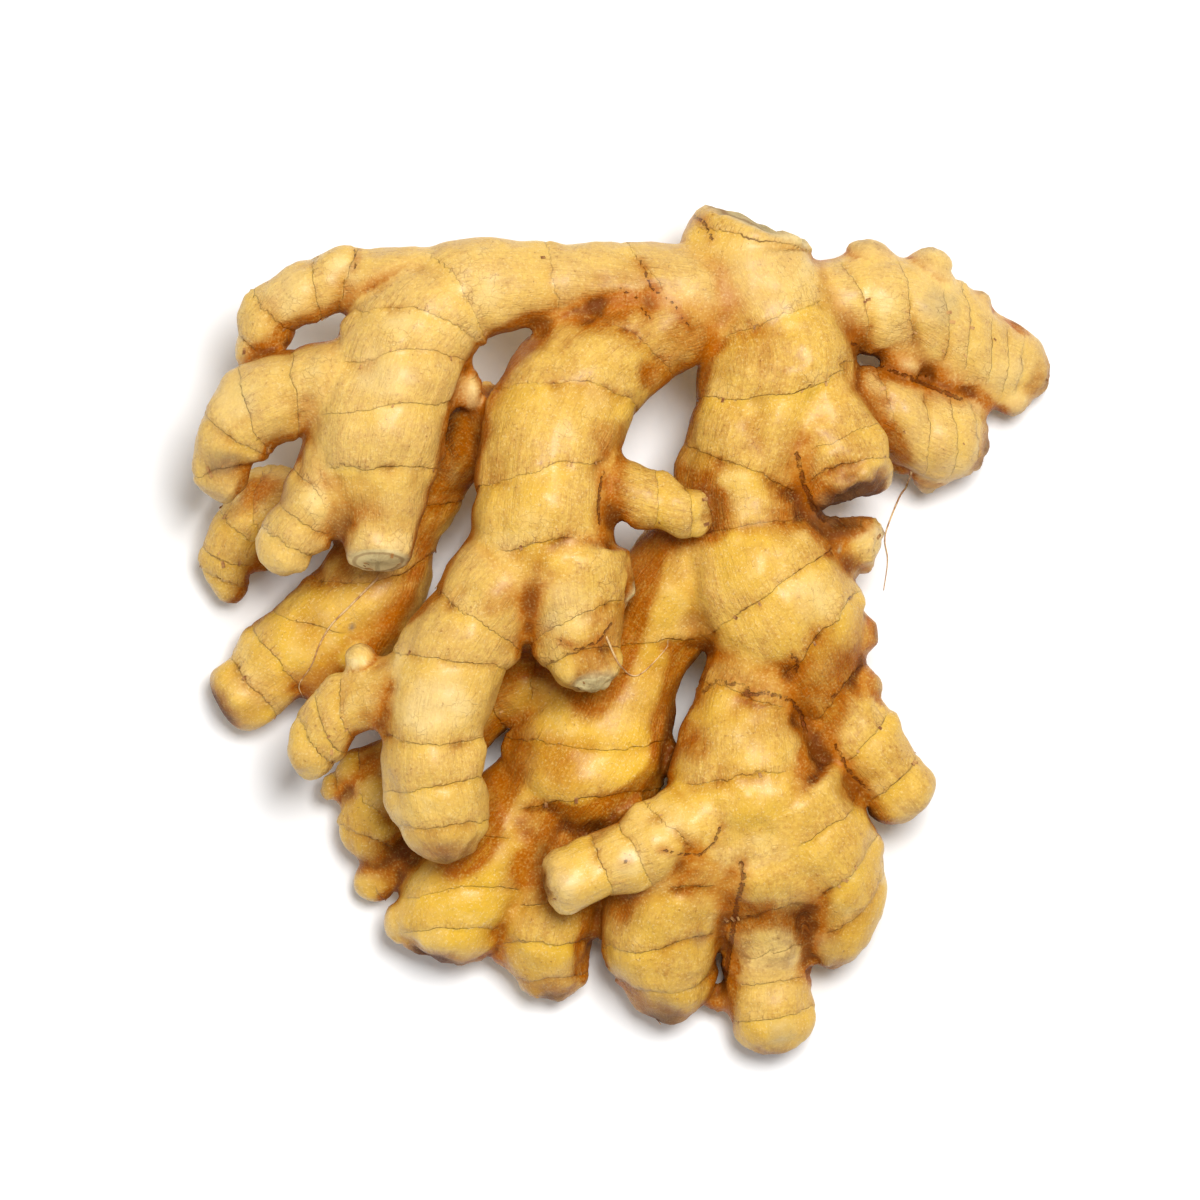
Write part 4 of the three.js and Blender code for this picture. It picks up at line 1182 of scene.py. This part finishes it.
class GINGER_OT_stage(bpy.types.Operator):
    """Sets out the floor, the light and a camera that looks straight down"""
    bl_idname = "ginger.stage"
    bl_label = "Stage"

    def execute(self, context):
        stage = context.scene.ginger_stage
        half = stage.floor / 2
        mesh = bpy.data.meshes.new("pale_floor")
        sides = ((-half, -half), (half, -half), (half, half), (-half, half))
        mesh.from_pydata([(x, y, -FLOOR_GAP) for x, y in sides], [], [(0, 1, 2, 3)])
        mesh.materials.append(floor_material(stage.floor_colour))
        show("pale_floor", mesh)

        softbox("key_softbox", KEY_PLACE, KEY_SIZE, stage.key)
        softbox("fill_softbox", FILL_PLACE, FILL_SIZE, stage.fill)
        world = bpy.data.worlds.new("studio")
        world.use_nodes = True
        background = world.node_tree.nodes["Background"]
        background.inputs["Color"].default_value = (1, 1, 1, 1)
        background.inputs["Strength"].default_value = stage.sky
        context.scene.world = world
        context.scene.view_settings.view_transform = "Standard"

        lens = bpy.data.cameras.new("camera")
        lens.sensor_width = SENSOR_WIDTH
        lens.lens = SENSOR_WIDTH * (stage.height - VIEW_LEVEL) / VIEW_WIDTH
        camera = bpy.data.objects.new("camera", lens)
        camera.location = (*CAMERA_OVER, stage.height)
        context.scene.collection.objects.link(camera)
        context.scene.camera = camera
        return {"FINISHED"}


class GINGER_OT_root(bpy.types.Operator):
    """Grows the root: lofted limbs, fused, webbed, ringed and coloured"""
    bl_idname = "ginger.root"
    bl_label = "Root"

    def execute(self, context):
        shape = context.scene.ginger_shape
        limbs = [Limb(name) for name in LIMBS]
        material = ginger_skin_material(context.scene.ginger_paint)
        spines = line_mesh(
            "limb_spines", [limb.centre for limb in limbs],
            limb_radius=joined(limbs, "radius") * MM, limb_centre=joined(limbs, "centre") * MM,
            limb_over=joined(limbs, "over"), limb_drop=joined(limbs, "drop"),
        )
        root = grown(
            "ginger_rhizome", spines, limb_tree(material), {"Sides": shape.sides, "Swell": shape.swell},
            ("REMESH", {"mode": "VOXEL", "voxel_size": shape.cell}),
        )
        shape_root(root, limbs, shape)
        root.data.materials.clear()
        root.data.materials.append(material)
        root.data.shade_smooth()
        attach(root, "root")
        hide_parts("ginger_root")
        return {"FINISHED"}


class GINGER_OT_root_hairs(bpy.types.Operator):
    """Lays the thin root hairs over the root and down to the floor"""
    bl_idname = "ginger.root_hairs"
    bl_label = "Root hairs"

    def execute(self, context):
        paint = context.scene.ginger_paint
        ground = BVHTree.FromObject(bpy.data.objects["ginger_rhizome"], context.evaluated_depsgraph_get())
        lines, widths = [], []
        for radius, points in HAIRS:
            line = spline([(x, y, 0.0) for x, y in points], HAIR_STEPS) + CENTRING
            for point in line:
                above = Vector((point[0] * MM, point[1] * MM, HAIR_DROP))
                hit = ground.ray_cast(above, Vector((0, 0, -1)))[0]
                point[2] = (hit.z / MM if hit else 0.0) + radius
            for _ in range(3):
                line[1:-1, 2] = np.maximum(line[1:-1, 2], (line[:-2, 2] + line[2:, 2]) / 2)
            line[0, 2] -= 2 * radius
            lines.append(line)
            widths.append(np.linspace(radius, radius * HAIR_TAPER, len(line)) * MM)
        material = fibre_material("root_hair", paint.hair, paint.hair_shade)
        source = line_mesh("hair_lines", lines, hair_radius=np.concatenate(widths))
        thickness = context.scene.ginger_detail.hair_thickness
        hairs = grown("root_hairs", source, hair_tree(material), {
            "Sides": HAIR_SIDES, "Thickness": thickness,
        })
        hairs.data.shade_smooth()
        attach(hairs, "root")
        return {"FINISHED"}


class GINGER_OT_skin_flakes(bpy.types.Operator):
    """Scatters torn flakes of dry skin along the rings"""
    bl_idname = "ginger.skin_flakes"
    bl_label = "Skin flakes"

    def execute(self, context):
        paint = context.scene.ginger_paint
        detail = context.scene.ginger_detail
        material = fibre_material("dry_husk", paint.husk, paint.husk_shade)
        source = bpy.data.objects["ginger_rhizome"].data.copy()
        flakes = grown("skin_flakes", source, flake_tree(material), {
            "Density": detail.flake_density, "Length": detail.flake_length, "Seed": detail.flake_seed,
        })
        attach(flakes, "root")
        return {"FINISHED"}


class GINGER_PT_parts(bpy.types.Panel):
    """The pieces of the ginger root and their sizes and colours"""
    bl_idname = "GINGER_PT_parts"
    bl_label = "Ginger Root"
    bl_space_type = "VIEW_3D"
    bl_region_type = "UI"
    bl_category = "Ginger"

    def draw(self, context):
        for maker in OPERATORS:
            self.layout.operator(maker.bl_idname)
        for label, group in GROUPS.items():
            box = self.layout.box()
            for name in group.__annotations__:
                box.prop(getattr(context.scene, label), name)


OPERATORS = (GINGER_OT_stage, GINGER_OT_root, GINGER_OT_root_hairs, GINGER_OT_skin_flakes)
GROUPS = {
    "ginger_shape": GingerShape, "ginger_paint": GingerPaint,
    "ginger_detail": GingerDetail, "ginger_stage": GingerStage,
}


def register():
    for kind in (*GROUPS.values(), *OPERATORS, GINGER_PT_parts):
        bpy.utils.register_class(kind)
    for label, group in GROUPS.items():
        setattr(bpy.types.Scene, label, bpy.props.PointerProperty(type=group))


def unregister():
    for label in GROUPS:
        delattr(bpy.types.Scene, label)
    for kind in (GINGER_PT_parts, *reversed(OPERATORS), *reversed(GROUPS.values())):
        bpy.utils.unregister_class(kind)


def main():
    register()
    bpy.ops.ginger.stage()
    bpy.ops.ginger.root()
    bpy.ops.ginger.root_hairs()
    bpy.ops.ginger.skin_flakes()


if __name__ == "__main__":
    main()
